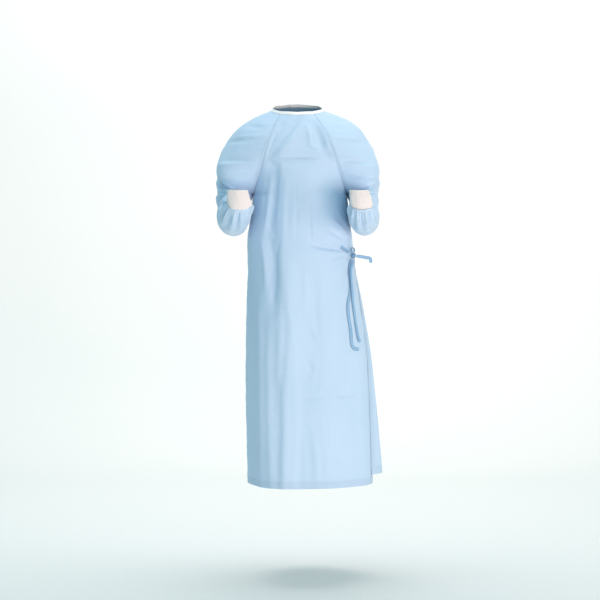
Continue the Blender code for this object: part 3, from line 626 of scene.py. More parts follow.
def level_way(turn: Array, across: float, forward: float) -> Array:
    """Level unit vectors that point across at a turn of 0 degrees and forward or back at 90."""
    turn = np.radians(turn)
    return combine(across * np.cos(turn), forward * np.sin(turn), 0.0)


def span(start: Array, leave: Array, end: Array, arrive: Array, fullness: Array, shares: Array) -> Array:
    """Curves from start to end, one for each row.

    Args:
        start: the rows' first points.
        leave: level directions there.
        end: the rows' last points.
        arrive: level directions there.
        fullness: the tangents' lengths as shares of the distance.
        shares: shares of the way along, row by row.

    Returns:
        The points, row by row.
    """
    reach = np.linalg.norm(end - start, axis=-1, keepdims=True) * fullness[:, None]
    rise = (end - start) * [0, 0, 1]
    ends = (start, leave * reach + rise, end, arrive * reach + rise)
    return cubic(*(values[:, None] for values in ends), shares[:, :, None])


def half_loops(inner: Array, outer: Array, turn: Array, top: Array, under: Array, shares: Array) -> Array:
    """Closed rings from the inner point over the top to the outer point and back underneath.

    Args:
        inner: the rings' points on the body's side.
        outer: the points across from them.
        turn: how far each ring swings from level, in degrees.
        top: reach on the side of the crook.
        under: reach on the side of the elbow.
        shares: shares of the way round each half.

    Returns:
        The points, ring by ring.
    """
    turn = np.radians(turn)
    up = combine(0.0, -np.cos(turn), np.sin(turn))
    share = np.tile(shares[None], (len(turn), 1))[:, :, None]
    leave = 4 * up * top[:, None]
    over = cubic(inner[:, None], leave[:, None], outer[:, None], -leave[:, None], share)
    back = -4 * up * under[:, None]
    below = cubic(outer[:, None], back[:, None], inner[:, None], -back[:, None], share)
    return np.concatenate([over, below[:, 1:]], axis=1)


@dataclass(frozen=True)
class RowPlan:
    """How many rows of points the yoke and the skirt have, with a few closer ones at the hem."""

    yoke: int = 66
    skirt: int = 184
    hem_rows: Pair = (0.0024, 0.0048)

    def seam(self) -> Array:
        """Places along the raglan seams, from the neck to the underarm."""
        return np.linspace(0, 1, self.yoke)

    def down(self) -> Array:
        """Depths of the rows below the underarm.

        Returns:
            The depths, from the top.
        """
        even = -np.linspace(UNDERARM, HEM, self.skirt + 1)[1:]
        close = -HEM - np.array(self.hem_rows)
        return np.sort(np.concatenate([even, close]))

    def count(self) -> int:
        """The number of rows in all."""
        return self.yoke + self.skirt + len(self.hem_rows)

    def fade(self) -> Array:
        """How much of a large fold shows in each row: none at the neck."""
        return np.concatenate([smooth_step(0, FADE_SEAM, self.seam()), np.ones(self.count() - self.yoke)])


@dataclass(frozen=True)
class GownForm:
    """The gown's surfaces, worked out from the tables."""

    plan: RowPlan = RowPlan()

    def edges(self, table: Table) -> tuple[Array, Array]:
        """The two side edges of every row: raglan seams above the underarm, side seams below it.

        Args:
            table: the raglan seam's table.

        Returns:
            The points of the wearer's right edge, and of the left one.
        """
        seam, down = self.plan.seam(), self.plan.down()
        above, below = table.at(seam), SKIRT.at(down)
        found = []
        for side, out in ((Side.RIGHT, below.right), (Side.LEFT, below.left)):
            raglan = outlined(side, above.x, above.y, above.z) + neck_shift(seam)
            found.append(np.vstack([raglan, outlined(side, out, below.side_y, -down)]))
        return found[0], found[1]

    def panel(
        self, table: Table, middle: Array, forward: int, full: tuple[Array, Array], shares: Array,
    ) -> Array:
        """Rows across the front or the back.

        Args:
            table: the raglan seam's table.
            middle: the middle point of every row.
            forward: -1 for the front and 1 for the back.
            full: how full the two halves of every row are.
            shares: shares of the way across, from the wearer's right.

        Returns:
            The points, row by row.
        """
        edges = self.edges(table)
        straight = np.full(len(middle) - self.plan.yoke, 90.0)
        turns = np.concatenate([table.at(self.plan.seam()).body, straight])
        across = np.tile([1.0, 0.0, 0.0], (len(middle), 1))
        leave, arrive = level_way(turns, 1, forward), level_way(turns, 1, -forward)
        right = span(edges[0], leave, middle, across, full[0], np.clip(2 * shares, 0, 1))
        left = span(middle, across, edges[1], arrive, full[1], np.clip(2 * shares - 1, 0, 1))
        return np.where(shares[:, :, None] < 0.5, right, left)

    def front(self, shares: Array) -> Array:
        """The front panel's rows.

        Args:
            shares: shares of the way across every row.

        Returns:
            The points, row by row.
        """
        seam, down = self.plan.seam(), self.plan.down()
        above, below = YOKE.at(seam), SKIRT.at(down)
        middle_above = combine(above.front_x, above.front_y, above.front_z)
        middle = np.vstack([middle_above, combine(below.ridge_x, below.ridge_y, -down)])
        chest = CHEST_FULLNESS + (UNDERARM_FULLNESS - CHEST_FULLNESS) * seam
        full = (np.concatenate([chest, below.plane]), np.concatenate([chest, below.flat]))
        return self.panel(FRONT_SEAM, middle, -1, full, shares)

    def back(self, shares: Array) -> Array:
        """The back's rows.

        Args:
            shares: shares of the way across, from the wearer's right to the left.

        Returns:
            The points, row by row.
        """
        seam, down = self.plan.seam(), self.plan.down()
        above, below = YOKE.at(seam), SKIRT.at(down)
        middle_above = combine(above.back_x, above.back_y, above.back_z)
        middle = np.vstack([middle_above, combine(below.back_x, below.back_y, -down)])
        full = np.full(self.plan.count(), BACK_FULLNESS)
        return self.panel(BACK_SEAM, middle, 1, (full, full), shares)

    def wrap(self, shares: Array) -> Array:
        """The back's rows, which go on over the front past the left side.

        Args:
            shares: shares of the way across, above 1 on the front.

        Returns:
            The points, row by row.
        """
        back = self.back(np.minimum(shares, 1))
        front = self.front(np.minimum(2 - shares, 1))
        return np.where(shares[:, :, None] > 1, front, back)

    def column(self, name: str) -> Array:
        """One column of the back's layout for every row."""
        above = getattr(YOKE.at(self.plan.seam()), name)
        return np.concatenate([above, getattr(SKIRT.at(self.plan.down()), name)])

    def sleeve(self, side: Side, rings: Array, half: Array) -> Array:
        """A sleeve from the neck to the cuff: open arcs above the underarm and closed rings below it.

        Args:
            side: which sleeve.
            rings: places of the closed rings.
            half: shares of the way along each half of a row.

        Returns:
            The points, row by row.
        """
        seam = self.plan.seam()
        front, back, ridge = FRONT_SEAM.at(seam), BACK_SEAM.at(seam), RIDGE.at(seam)
        shift = neck_shift(seam)
        start = outlined(side, front.x, front.y, front.z) + shift
        end = outlined(side, back.x, back.y, back.z) + shift
        name = side.name.lower()
        top = outlined(side, getattr(ridge, name), ridge.y, ridge.z) + shift
        shares = np.tile(half, (len(seam), 1))
        rearward = np.tile([0.0, 1.0, 0.0], (len(seam), 1))
        first = span(start, level_way(front.sleeve, side.value, -1), top, rearward, ridge.full, shares)
        arrive = -level_way(back.sleeve, side.value, 1)
        second = span(top, rearward, end, arrive, ridge.full, shares)
        rows = SLEEVE.at(rings)
        inner = outlined(side, getattr(rows, f"{name}_in"), rows.y, rows.in_z)
        outer = outlined(side, getattr(rows, f"{name}_out"), rows.y, rows.out_z)
        loops = half_loops(inner, outer, rows.turn, rows.top, rows.under, half)
        return np.concatenate([np.concatenate([first, second[:, 1:]], axis=1), loops])


def edged_shares(cells: int) -> Array:
    """Shares across a piece, even in the middle and closer beside its seams."""
    edge = np.array([0.0, 0.003, 0.006, 0.010, 0.015])
    return np.concatenate([edge, np.linspace(0.021, 0.979, cells), 1 - edge[::-1]])


def quads_of(index: Array, flip: bool) -> Array:
    """Faces for every cell of a grid.

    Args:
        index: point numbers, row by row.
        flip: whether the faces are turned round.

    Returns:
        Four point numbers for each face.
    """
    corners = [index[:-1, :-1], index[1:, :-1], index[1:, 1:], index[:-1, 1:]]
    quads = np.stack([corner.ravel() for corner in corners], axis=-1)
    return quads[:, ::-1] if flip else quads


class ClothGrid:
    """A grid of points that is one piece of cloth, with its faces, directions and flat coordinates."""

    SHARP_ANGLE = 60

    def __init__(self, name: str, grid: Array, flip: bool, welded_from: int | None = None) -> None:
        """Makes the piece from its points.

        Args:
            name: the piece's name.
            grid: its points, row by row.
            flip: whether its faces are turned round to face out.
            welded_from: the first row whose last point is also its first, on a tube.
        """
        rows, columns = grid.shape[:2]
        self.loose = np.arange(rows * columns).reshape(rows, columns)
        joined = self.loose.copy()
        if welded_from is not None:
            joined[welded_from:, -1] = joined[welded_from:, 0]
        used, packed = np.unique(joined, return_inverse=True)
        self.name = name
        self.flip = flip
        self.index = packed.reshape(rows, columns)
        self.points = grid.reshape(-1, 3)[used]
        self.first_loose = used
        self.quads = quads_of(self.index, flip)
        self.normals = self.face_out()
        # Mask of doubled cloth; on the tie's edges and knot it also marks painted shade
        self.layered_and_shaded = np.zeros((rows, columns))
        self.flat = self.lay_flat(grid)

    def lay_flat(self, grid: Array) -> Array:
        """Flat coordinates in metres: the mean distance across, and the distance down the middle.

        Args:
            grid: the points, row by row.

        Returns:
            The coordinates, row by row.
        """
        across = np.linalg.norm(np.diff(grid, axis=1), axis=-1).mean(axis=0)
        u = np.concatenate([[0], np.cumsum(across)])
        return combine(u[None, :], -run_along(grid[:, grid.shape[1] // 2])[:, None])

    def lie(self) -> SimpleNamespace:
        """Where every point lies on the cloth.

        Returns:
            Grids of the places, the flat coordinates u and v, and the distances from the second side edge, from
            the nearer side edge, and above the hem.
        """
        grid, (u, v) = self.grid(), np.moveaxis(self.flat, -1, 0)
        right = u.max() - u
        below = grid[..., 2] - grid[-1, :, 2]
        return SimpleNamespace(grid=grid, u=u, v=v, right=right, away=np.minimum(u, right), below=below)

    def crosses(self) -> Array:
        """A vector across each face, twice as long as its area."""
        corner = self.points[self.quads]
        return np.cross(corner[:, 2] - corner[:, 0], corner[:, 3] - corner[:, 1])

    def face_out(self) -> Array:
        """Outward directions at the points.

        Returns:
            A unit vector for each point.
        """
        face = self.crosses()
        total = np.zeros_like(self.points)
        for place in range(4):
            np.add.at(total, self.quads[:, place], face)
        return unit(total)

    def displace(self, heights: Array) -> None:
        """Moves the points out.

        Args:
            heights: how far, row by row.
        """
        flat = np.zeros(len(self.points))
        flat[self.index.ravel()] = heights.ravel()
        self.points = self.points + self.normals * flat[:, None]

    def grid(self) -> Array:
        """The points, row by row."""
        return self.points[self.index]

    def directions(self) -> Array:
        """The outward directions, row by row."""
        return self.normals[self.index]

    def area(self) -> float:
        """The area of one layer, in square metres."""
        return float(np.linalg.norm(self.crosses(), axis=-1).sum() / 2)

    def shell(self, thickness: float, material: bpy.types.Material) -> bpy.types.Object:
        """Makes the closed shell.

        Args:
            thickness: how far in its inside lies.
            material: what it is made of.

        Returns:
            The new object, with a UV map in metres and the mask of doubled cloth.
        """
        count = len(self.points)
        inner = self.points - self.normals * thickness
        faces = [tuple(quad) for quad in self.quads.tolist()]
        edges = {(face[i], face[(i + 1) % 4]) for face in faces for i in range(4)}
        rim = [(b, a, a + count, b + count) for a, b in sorted(edges) if (b, a) not in edges]
        inside = [tuple(corner + count for corner in reversed(face)) for face in faces]
        mesh = bpy.data.meshes.new(self.name)
        mesh.from_pydata(np.vstack([self.points, inner]).tolist(), [], faces + inside + rim)
        mesh.shade_smooth()
        mesh.set_sharp_from_angle(angle=np.radians(self.SHARP_ANGLE))
        flat = self.flat.reshape(-1, 2)
        loose = quads_of(self.loose, self.flip)
        near_rim = self.first_loose[np.array(rim, int).reshape(-1) % count]
        order = np.concatenate([loose.ravel(), loose[:, ::-1].ravel(), near_rim])
        mesh.uv_layers.new(name="flat").data.foreach_set("uv", flat[order].astype(np.float32).ravel())
        layered_and_shaded = np.zeros(count)
        layered_and_shaded[self.index.ravel()] = self.layered_and_shaded.ravel()
        mask = mesh.attributes.new("layered_and_shaded", "FLOAT", "POINT")
        mask.data.foreach_set("value", np.tile(layered_and_shaded, 2).astype(np.float32))
        mesh.materials.append(material)
        return link_piece(self.name, mesh)


def link_piece(name: str, data: bpy.types.ID) -> bpy.types.Object:
    """Puts a new object into the scene at the origin.

    Args:
        name: its name.
        data: its mesh, lines, light or camera.

    Returns:
        The object.
    """
    piece = bpy.data.objects.new(name, data)
    bpy.context.scene.collection.objects.link(piece)
    return piece


def share_directions(pieces: Sequence[ClothGrid]) -> None:
    """Gives the pieces that meet at a seam one outward direction there.

    Args:
        pieces: the pieces, which share the points of their seams.
    """
    names = [[tuple(row) for row in np.round(piece.points, 5)] for piece in pieces]
    total: dict[tuple, Array] = {}
    for piece, keys in zip(pieces, names):
        piece.normals = piece.face_out()
        for key, normal in zip(keys, piece.normals):
            total[key] = total.get(key, 0) + normal
    for piece, keys in zip(pieces, names):
        piece.normals = unit(np.array([total[key] for key in keys]))


@dataclass(frozen=True)
class Crumple:
    """Small uneven creases, as in a papery cloth that was folded and worn.

    The scales are shares of the coarse creases' cells, and the softnesses round the creases off.
    """

    warp: float = 0.8
    warp_scale: float = 0.6
    fine_scale: float = 2.3
    patch_scale: float = 0.35
    coarse_softness: float = 0.012
    fine_softness: float = 0.02
    shares: Pair = (0.65, 0.35)
    least: float = 0.3

    def heights(self, points: Array, stretch: Triple, seed: int) -> Array:
        """Gives the creases' heights.

        Args:
            points: where to read them.
            stretch: cells of the noise for each metre along x, y and z.
            seed: which creases to give.

        Returns:
            Heights between about -1 and 1.
        """
        place = points * np.array(stretch)
        warp = lattice_noise(place * self.warp_scale, seed + 5) * self.warp
        place = place + warp[..., None]
        coarse = 1 - 2 * np.sqrt(lattice_noise(place, seed) ** 2 + self.coarse_softness)
        fine = 1 - 2 * np.sqrt(lattice_noise(place * self.fine_scale, seed + 1) ** 2 + self.fine_softness)
        patches = 0.5 + 0.5 * lattice_noise(place * self.patch_scale, seed + 2)
        mixed = coarse * self.shares[0] + fine * self.shares[1]
        return mixed * (self.least + (1 - self.least) * patches)


CRUMPLE = Crumple()


def drawn(lines: Sequence[Crease | Fold], grid: Array) -> Array:
    """The heights of drawn creases or folds together, over points in space."""
    return sum(line.heights(grid[..., [0, 2]]) for line in lines)


def inside(away: Array) -> Array:
    """How much of a small crease shows at distances from an edge: none at the edge."""
    return smooth_step(0, CREASES_FULL, away)


def within(limits: Pair, away: Array) -> Array:
    """Returns 1 nearer than the first limit, 0 farther than the second, and an even slope between."""
    return 1 - smooth_step(*limits, away)


@dataclass(frozen=True)
class SeamLook:
    """How a seam shows beside its line: a groove, a raised allowance, and puckers that run away from it."""

    groove: float = 0.0004
    groove_width: float = 0.0018
    rise: float = 0.0005
    rise_from: Pair = (0.001, 0.003)
    rise_until: Pair = (0.007, 0.010)
    pucker: float = 0.0008
    pucker_length: float = 0.021
    pucker_reach: float = 0.022
    pucker_cells: float = 8
    pucker_from: float = 0.004

    def heights(self, away: Array, along: Array, seed: int) -> Array:
        """Gives the seam's heights.

        Args:
            away: distances from the seam.
            along: places along it.
            seed: which puckers to give.

        Returns:
            A height for each place.
        """
        groove = -self.groove * np.exp(-((away / self.groove_width) ** 2))
        raised = self.rise * (smooth_step(*self.rise_from, away) - smooth_step(*self.rise_until, away))
        place = combine(along / self.pucker_length, away * self.pucker_cells, 0.5)
        wave = lattice_noise(place * 1.6, seed) * self.pucker * 1.5
        fade = np.exp(-away / self.pucker_reach)
        return groove + raised + wave * fade * smooth_step(0, self.pucker_from, away)


SEAM = SeamLook()


@dataclass(frozen=True)
class HemLook:
    """How a turned hem shows: doubled cloth and the dip of its stitching."""

    rise: float = 0.0006
    rise_until: Pair = (HEM_TURN, HEM_TURN + 0.004)
    dip: float = 0.0005
    dip_from_turn: float = 0.002
    dip_width: float = 0.0022

    def heights(self, away: Array) -> Array:
        """Heights at distances from the edge."""
        turned = self.rise * within(self.rise_until, away)
        return turned - self.dip * np.exp(-(((away - HEM_TURN + self.dip_from_turn) / self.dip_width) ** 2))


HEM_LOOK = HemLook()


class Wiring:
    """Adds nodes to one tree and joins them."""

    def __init__(self, tree: bpy.types.NodeTree) -> None:
        """Takes the tree to work on."""
        self.tree = tree

    def feed(self, node: bpy.types.Node, inputs: dict) -> None:
        """Fills inputs of a node.

        Args:
            node: the node.
            inputs: a socket to join or a value to set, under each input's name or number. None is left out.
        """
        for key, value in inputs.items():
            if isinstance(value, bpy.types.NodeSocket):
                self.tree.links.new(value, node.inputs[key])
            elif value is not None:
                node.inputs[key].default_value = value

    def add(self, kind: str, inputs: dict | None = None, **settings: object) -> bpy.types.Node:
        """Adds a node.

        Args:
            kind: its type.
            inputs: what its inputs are fed with.
            settings: its options.

        Returns:
            The node.
        """
        node = self.tree.nodes.new(kind)
        for name, value in settings.items():
            setattr(node, name, value)
        self.feed(node, inputs or {})
        return node

    def maths(self, operation: str, *values: object) -> bpy.types.NodeSocket:
        """Works out numbers or sockets with a Math node."""
        return self.add("ShaderNodeMath", dict(enumerate(values)), operation=operation).outputs[0]

    def ramp(self, value: bpy.types.NodeSocket, low: float, high: float) -> bpy.types.NodeSocket:
        """Stretches a value so that low becomes 0 and high becomes 1."""
        inputs = {"Value": value, "From Min": low, "From Max": high}
        return self.add("ShaderNodeMapRange", inputs, interpolation_type="SMOOTHSTEP").outputs["Result"]

    def blend(self, factor: object, first: object, second: object) -> bpy.types.NodeSocket:
        """Mixes two colours, each a socket or a colour."""
        return self.add("ShaderNodeMix", {0: factor, 6: first, 7: second}, data_type="RGBA").outputs[2]

    def noise(self, place: bpy.types.NodeSocket, scale: float, detail: float) -> bpy.types.NodeSocket:
        """Adds a noise texture and gives its value."""
        inputs = {"Vector": place, "Scale": scale, "Detail": detail}
        return self.add("ShaderNodeTexNoise", inputs).outputs["Fac"]

    def bump(
        self, strength: float, distance: float, height: object, normal: object = None,
    ) -> bpy.types.NodeSocket:
        """Turns a height into directions, on top of others where they are given."""
        inputs = {"Strength": strength, "Distance": distance, "Height": height, "Normal": normal}
        return self.add("ShaderNodeBump", inputs).outputs["Normal"]

    def place(self) -> bpy.types.NodeSocket:
        """Places on the object, in metres."""
        return self.add("ShaderNodeTexCoord").outputs["Object"]

    def flat_place(self) -> bpy.types.NodeSocket:
        """Places on the flat cloth, in metres."""
        return self.add("ShaderNodeUVMap", uv_map="flat").outputs["UV"]


def new_material(name: str) -> tuple[bpy.types.Material, Wiring, bpy.types.Node]:
    """Starts a material.

    Args:
        name: its name.

    Returns:
        The material, its wiring and its Principled node.
    """
    made = bpy.data.materials.new(name)
    made.use_nodes = True
    return made, Wiring(made.node_tree), made.node_tree.nodes["Principled BSDF"]


def new_group(name: str, inputs: Sequence[tuple[str, str, float]], outputs: Sequence[str]) -> tuple:
    """Starts a shader node group.

    Args:
        name: its name.
        inputs: name, socket type and default of each input.
        outputs: names of its values.

    Returns:
        The group's wiring, the sockets that bring its inputs, and its output node.
    """
    tree = bpy.data.node_groups.new(name, "ShaderNodeTree")
    for title, kind, value in inputs:
        socket = tree.interface.new_socket(title, in_out="INPUT", socket_type=kind)
        if kind == "NodeSocketFloat":
            socket.default_value = value
    for title in outputs:
        tree.interface.new_socket(title, in_out="OUTPUT", socket_type="NodeSocketFloat")
    wire = Wiring(tree)
    return wire, wire.add("NodeGroupInput").outputs, wire.add("NodeGroupOutput")


def fibre_web() -> bpy.types.NodeTree:
    """The nonwoven's surface: fine fibres and a lattice of small pressed bond points.

    Returns:
        The node group, with the values Web and Bonds.
    """
    floats = (("Bonds a Metre", "NodeSocketFloat", 420), ("Fibres", "NodeSocketFloat", 900))
    wire, given, put = new_group("fibre_web", (("Place", "NodeSocketVector", 0), *floats), ("Web", "Bonds"))
    turn = {"Rotation": (0, 0, np.radians(45)), "Vector": given["Place"]}
    turned = wire.add("ShaderNodeMapping", turn).outputs["Vector"]
    lattice = {"Randomness": 0.0, "Vector": turned, "Scale": given["Bonds a Metre"]}
    cells = wire.add("ShaderNodeTexVoronoi", lattice).outputs["Distance"]
    stretch = {"Scale": (0.35, 1.0, 1.0), "Vector": given["Place"]}
    stretched = wire.add("ShaderNodeMapping", stretch).outputs["Vector"]
    fibres = wire.noise(stretched, given["Fibres"], 3.0)
    bonds = wire.maths("SUBTRACT", 1.0, wire.ramp(cells, 0.18, 0.34))
    wire.feed(put, {"Web": wire.ramp(fibres, 0.35, 0.65), "Bonds": bonds})
    return wire.tree


def soft_creases() -> bpy.types.NodeTree:
    """Fine crumpled creases.

    Returns:
        The node group, with the value Height.
    """
    sockets = (("Place", "NodeSocketVector", 0), ("Scale", "NodeSocketFloat", 22))
    wire, given, put = new_group("soft_creases", sockets, ("Height",))
    warp = wire.add("ShaderNodeTexNoise", {"Scale": 9.0, "Vector": given["Place"]}).outputs["Color"]
    shift = {0: warp, 1: (0.06, 0.06, 0.06), 2: given["Place"]}
    shifted = wire.add("ShaderNodeVectorMath", shift, operation="MULTIPLY_ADD").outputs["Vector"]
    cells = {"Vector": shifted, "Scale": given["Scale"]}
    cracks = wire.add("ShaderNodeTexVoronoi", cells, feature="DISTANCE_TO_EDGE").outputs["Distance"]
    lines = wire.maths("MULTIPLY", wire.ramp(cracks, -0.04, 0.30), 0.7)
    patches = wire.ramp(wire.noise(given["Place"], 7.0, 2.0), 0.42, 0.62)
    soft = wire.maths("MULTIPLY", wire.noise(shifted, 34.0, 4.0), 0.8)
    wire.feed(put, {"Height": wire.maths("ADD", wire.maths("MULTIPLY", lines, patches), soft)})
    return wire.tree


@dataclass(frozen=True)
class Finish:
    """A cloth finish: its colours, gloss and the strength of its surface detail."""

    name: str
    bright: Triple
    deep: Triple
    roughness: float = 0.66
    sheen: float = 0.2
    bonds: float = 420
    fibres: float = 900
    bond_depth: float = 0.00018
    crease_depth: float = 0.0004
    # Share and darkness of the darker colour on doubled cloth and on painted shade
    layered_and_shaded_tint: float = 0.0
    layered_and_shaded_depth: float = 0.9

    def material(self, web_group: bpy.types.NodeTree, crease_group: bpy.types.NodeTree) -> bpy.types.Material:
        """Builds the material.

        Args:
            web_group: the group of fibres and bond points.
            crease_group: the group of fine creases.

        Returns:
            The material.
        """
        made, wire, shader = new_material(self.name)
        place = wire.place()
        surface = {"Bonds a Metre": self.bonds, "Fibres": self.fibres, "Place": wire.flat_place()}
        nonwoven = wire.add("ShaderNodeGroup", surface, node_tree=web_group).outputs
        web, bonds = nonwoven["Web"], nonwoven["Bonds"]
        creases = wire.add("ShaderNodeGroup", {"Place": place}, node_tree=crease_group).outputs["Height"]
        cloudy = wire.ramp(wire.noise(place, 5.0, 3.0), 0.25, 0.75)
        shade = wire.maths("ADD", wire.maths("MULTIPLY", cloudy, 0.45), wire.maths("MULTIPLY", web, 0.35))
        colour = wire.blend(shade, (*self.bright, 1), (*self.deep, 1))
        # Darker colour on doubled cloth, and painted shade on the tie's edges and knot
        layered_and_shaded = wire.add("ShaderNodeAttribute", attribute_name="layered_and_shaded").outputs["Fac"]
        deeper = tuple(part * self.layered_and_shaded_depth for part in self.deep)
        pressed = wire.maths("SUBTRACT", wire.maths("MULTIPLY", web, 0.5), bonds)
        fine = wire.bump(0.5, self.bond_depth, pressed)
        wire.feed(shader, {
            "Base Color": wire.blend(wire.maths("MULTIPLY", layered_and_shaded, self.layered_and_shaded_tint), colour, (*deeper, 1)),
            "Roughness": wire.maths("MULTIPLY_ADD", bonds, -0.12, self.roughness),
            "Normal": wire.bump(0.6, self.crease_depth, creases, fine),
            "Sheen Weight": self.sheen,
            "Sheen Roughness": 0.45,
            "Specular IOR Level": 0.35,
        })
        return made


@dataclass(frozen=True)
class KnitFinish:
    """White rib knit: columns of small V stitches that follow the tube."""

    name: str = "white_rib_knit"
    colour: Triple = (0.97, 0.95, 0.94)
    shadow: Triple = (0.76, 0.74, 0.75)
    columns: float = 620.0
    courses: float = 640.0
    stitch_depth: float = 0.0006

    def material(self) -> bpy.types.Material:
        """Builds the material.

        Returns:
            The material.
        """
        made, wire, shader = new_material(self.name)
        flat = wire.add("ShaderNodeSeparateXYZ", {"Vector": wire.flat_place()}).outputs
        column = wire.maths("PINGPONG", wire.maths("MULTIPLY", flat["X"], self.columns), 0.5)
        slanted = wire.maths("MULTIPLY_ADD", flat["Y"], self.courses, wire.maths("MULTIPLY", column, 1.2))
        course = wire.maths("PINGPONG", slanted, 0.5)
        loops = wire.maths("MULTIPLY", wire.ramp(course, 0.05, 0.45), wire.ramp(column, 0.02, 0.30))
        fuzz = wire.noise(wire.place(), 900.0, 2.0)
        height = wire.maths("ADD", loops, wire.maths("MULTIPLY", fuzz, 0.5))
        wire.feed(shader, {
            # Painted shade: the darker shadow colour in the grooves between the loops
            "Base Color": wire.blend(loops, (*self.shadow, 1), (*self.colour, 1)),
            "Roughness": wire.ramp(fuzz, -1.2, 1.0),
            "Normal": wire.bump(0.7, self.stitch_depth, height),
            "Sheen Weight": 0.35,
            "Sheen Roughness": 0.5,
        })
        return made


@dataclass(frozen=True)
class PlainFinish:
    """A finish of one colour with a fine grain of another: sewing thread, or the studio's paper."""

    name: str
    colour: Triple
    grain: Triple
    scale: float
    detail: float
    roughness: float

    def material(self) -> bpy.types.Material:
        """Builds the material.

        Returns:
            The material.
        """
        made, wire, shader = new_material(self.name)
        grain = wire.noise(wire.place(), self.scale, self.detail)
        mixed = wire.blend(grain, (*self.colour, 1), (*self.grain, 1))
        wire.feed(shader, {"Base Color": mixed, "Roughness": self.roughness})
        return made


def thread(name: str, colour: Triple) -> PlainFinish:
    """Polyester sewing thread with a little twist."""
    return PlainFinish(name, colour, tuple(part * 0.8 for part in colour), 1500.0, 1.0, 0.55)


class Wardrobe:
    """Every finish of the gown, each built once."""

    def __init__(self) -> None:
        """Builds the shared groups and the materials."""
        groups = (fibre_web(), soft_creases())
        blue = Finish(
            "light_blue_nonwoven", (0.478, 0.648, 0.825), (0.430, 0.605, 0.790),
            sheen=0.22, crease_depth=0.0013, layered_and_shaded_tint=0.45, layered_and_shaded_depth=0.86,
        )
        # The tie's darker colour goes on in full: doubled cloth and painted shade on its edges, painted shade
        # on its knot
        tie = Finish(
            "tie_nonwoven", (0.27, 0.48, 0.70), (0.21, 0.39, 0.61), layered_and_shaded_tint=1.0, layered_and_shaded_depth=0.78,
        )
        tape = Finish(
            "white_binding", (0.93, 0.93, 0.93), (0.86, 0.87, 0.88),
            roughness=0.7, bonds=520, fibres=1000, bond_depth=0.00015,
        )
        self.cloth, self.tie, self.tape = (finish.material(*groups) for finish in (blue, tie, tape))
        self.knit = KnitFinish().material()
        self.blue_thread = thread("blue_thread", (0.36, 0.58, 0.82)).material()
        self.white_thread = thread("white_thread", (0.82, 0.83, 0.85)).material()


def attach(piece: bpy.types.Object) -> None:
    """Makes a piece ride with the gown and logs it.

    Args:
        piece: the finished piece.
    """
    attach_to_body(piece, BODY)
    LOG.info("%s: %d faces", piece.name, len(piece.data.polygons))


@dataclass(frozen=True)
class Cut:
    """What a sheet of cloth is: its solid, slot, shown flat size, hold, what it rests on and its area."""

    solid: str
    slot: str
    flat: Pair
    held: Hold
    rests_on: str
    area: float | None = None

    def dress(self, piece: bpy.types.Object) -> None:
        """Makes a finished piece ride with the gown, logs it and hides the solid that it replaces.

        Args:
            piece: the finished piece.
        """
        attach(piece)
        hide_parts(self.solid)

    def dress_cloth(self, cloth: ClothGrid, material: bpy.types.Material) -> None:
        """Makes the thin shell of a panel and dresses it.

        Args:
            cloth: the panel.
            material: what it is made of.
        """
        LOG.info("%s covers %.4f square metres", cloth.name, cloth.area())
        self.dress(cloth.shell(THIN, material))


@dataclass
class FrontPanel:
    """The front, from the neck to the hem, between the raglan seams and the side seams."""

    form: GownForm
    cells: int = 112
    crumple_height: float = 0.0013
    crumple_cells: Triple = (26.0, 26.0, 11.0)
    crease_gain: float = 2.0
    cut: Cut = Cut("front_panel", "cloth", (0.66, 1.20), Hold.HUNG, "neck_tape", 0.60)

    def shape(self) -> ClothGrid:
        """Lays the cloth on its form with its large folds.

        Returns:
            The panel.
        """
        shares = np.tile(edged_shares(self.cells), (self.form.plan.count(), 1))
        grid = self.form.front(shares)
        cloth = ClothGrid("cloth_front_panel", grid, flip=False)
        sides = smooth_step(0, FADE_SHARE, np.minimum(shares, 1 - shares))
        cloth.displace(drawn(FRONT_FOLDS, grid) * sides * self.form.plan.fade()[:, None])
        return cloth

    def crease(self, cloth: ClothGrid) -> None:
        """Adds the smaller creases, the seams' puckers and the hem.

        Args:
            cloth: the panel.
        """
        at = cloth.lie()
        heights = self.crease_gain * drawn(FRONT_CREASES, at.grid)
        heights = heights + self.crumple_height * CRUMPLE.heights(at.grid, self.crumple_cells, 3)
        heights = heights * inside(at.away) * inside(-at.v)
        heights += SEAM.heights(at.u, at.v, 11) + SEAM.heights(at.right, at.v, 12)
        heights += HEM_LOOK.heights(at.below)
        cloth.layered_and_shaded = np.maximum(within(DOUBLED_SEAM, at.away), within(DOUBLED_HEM, at.below))
        cloth.displace(heights)

    def dress(self, cloth: ClothGrid, material: bpy.types.Material) -> None:
        """Makes the panel's shell, logs it and hides the solid that it replaces."""
        self.cut.dress_cloth(cloth, material)


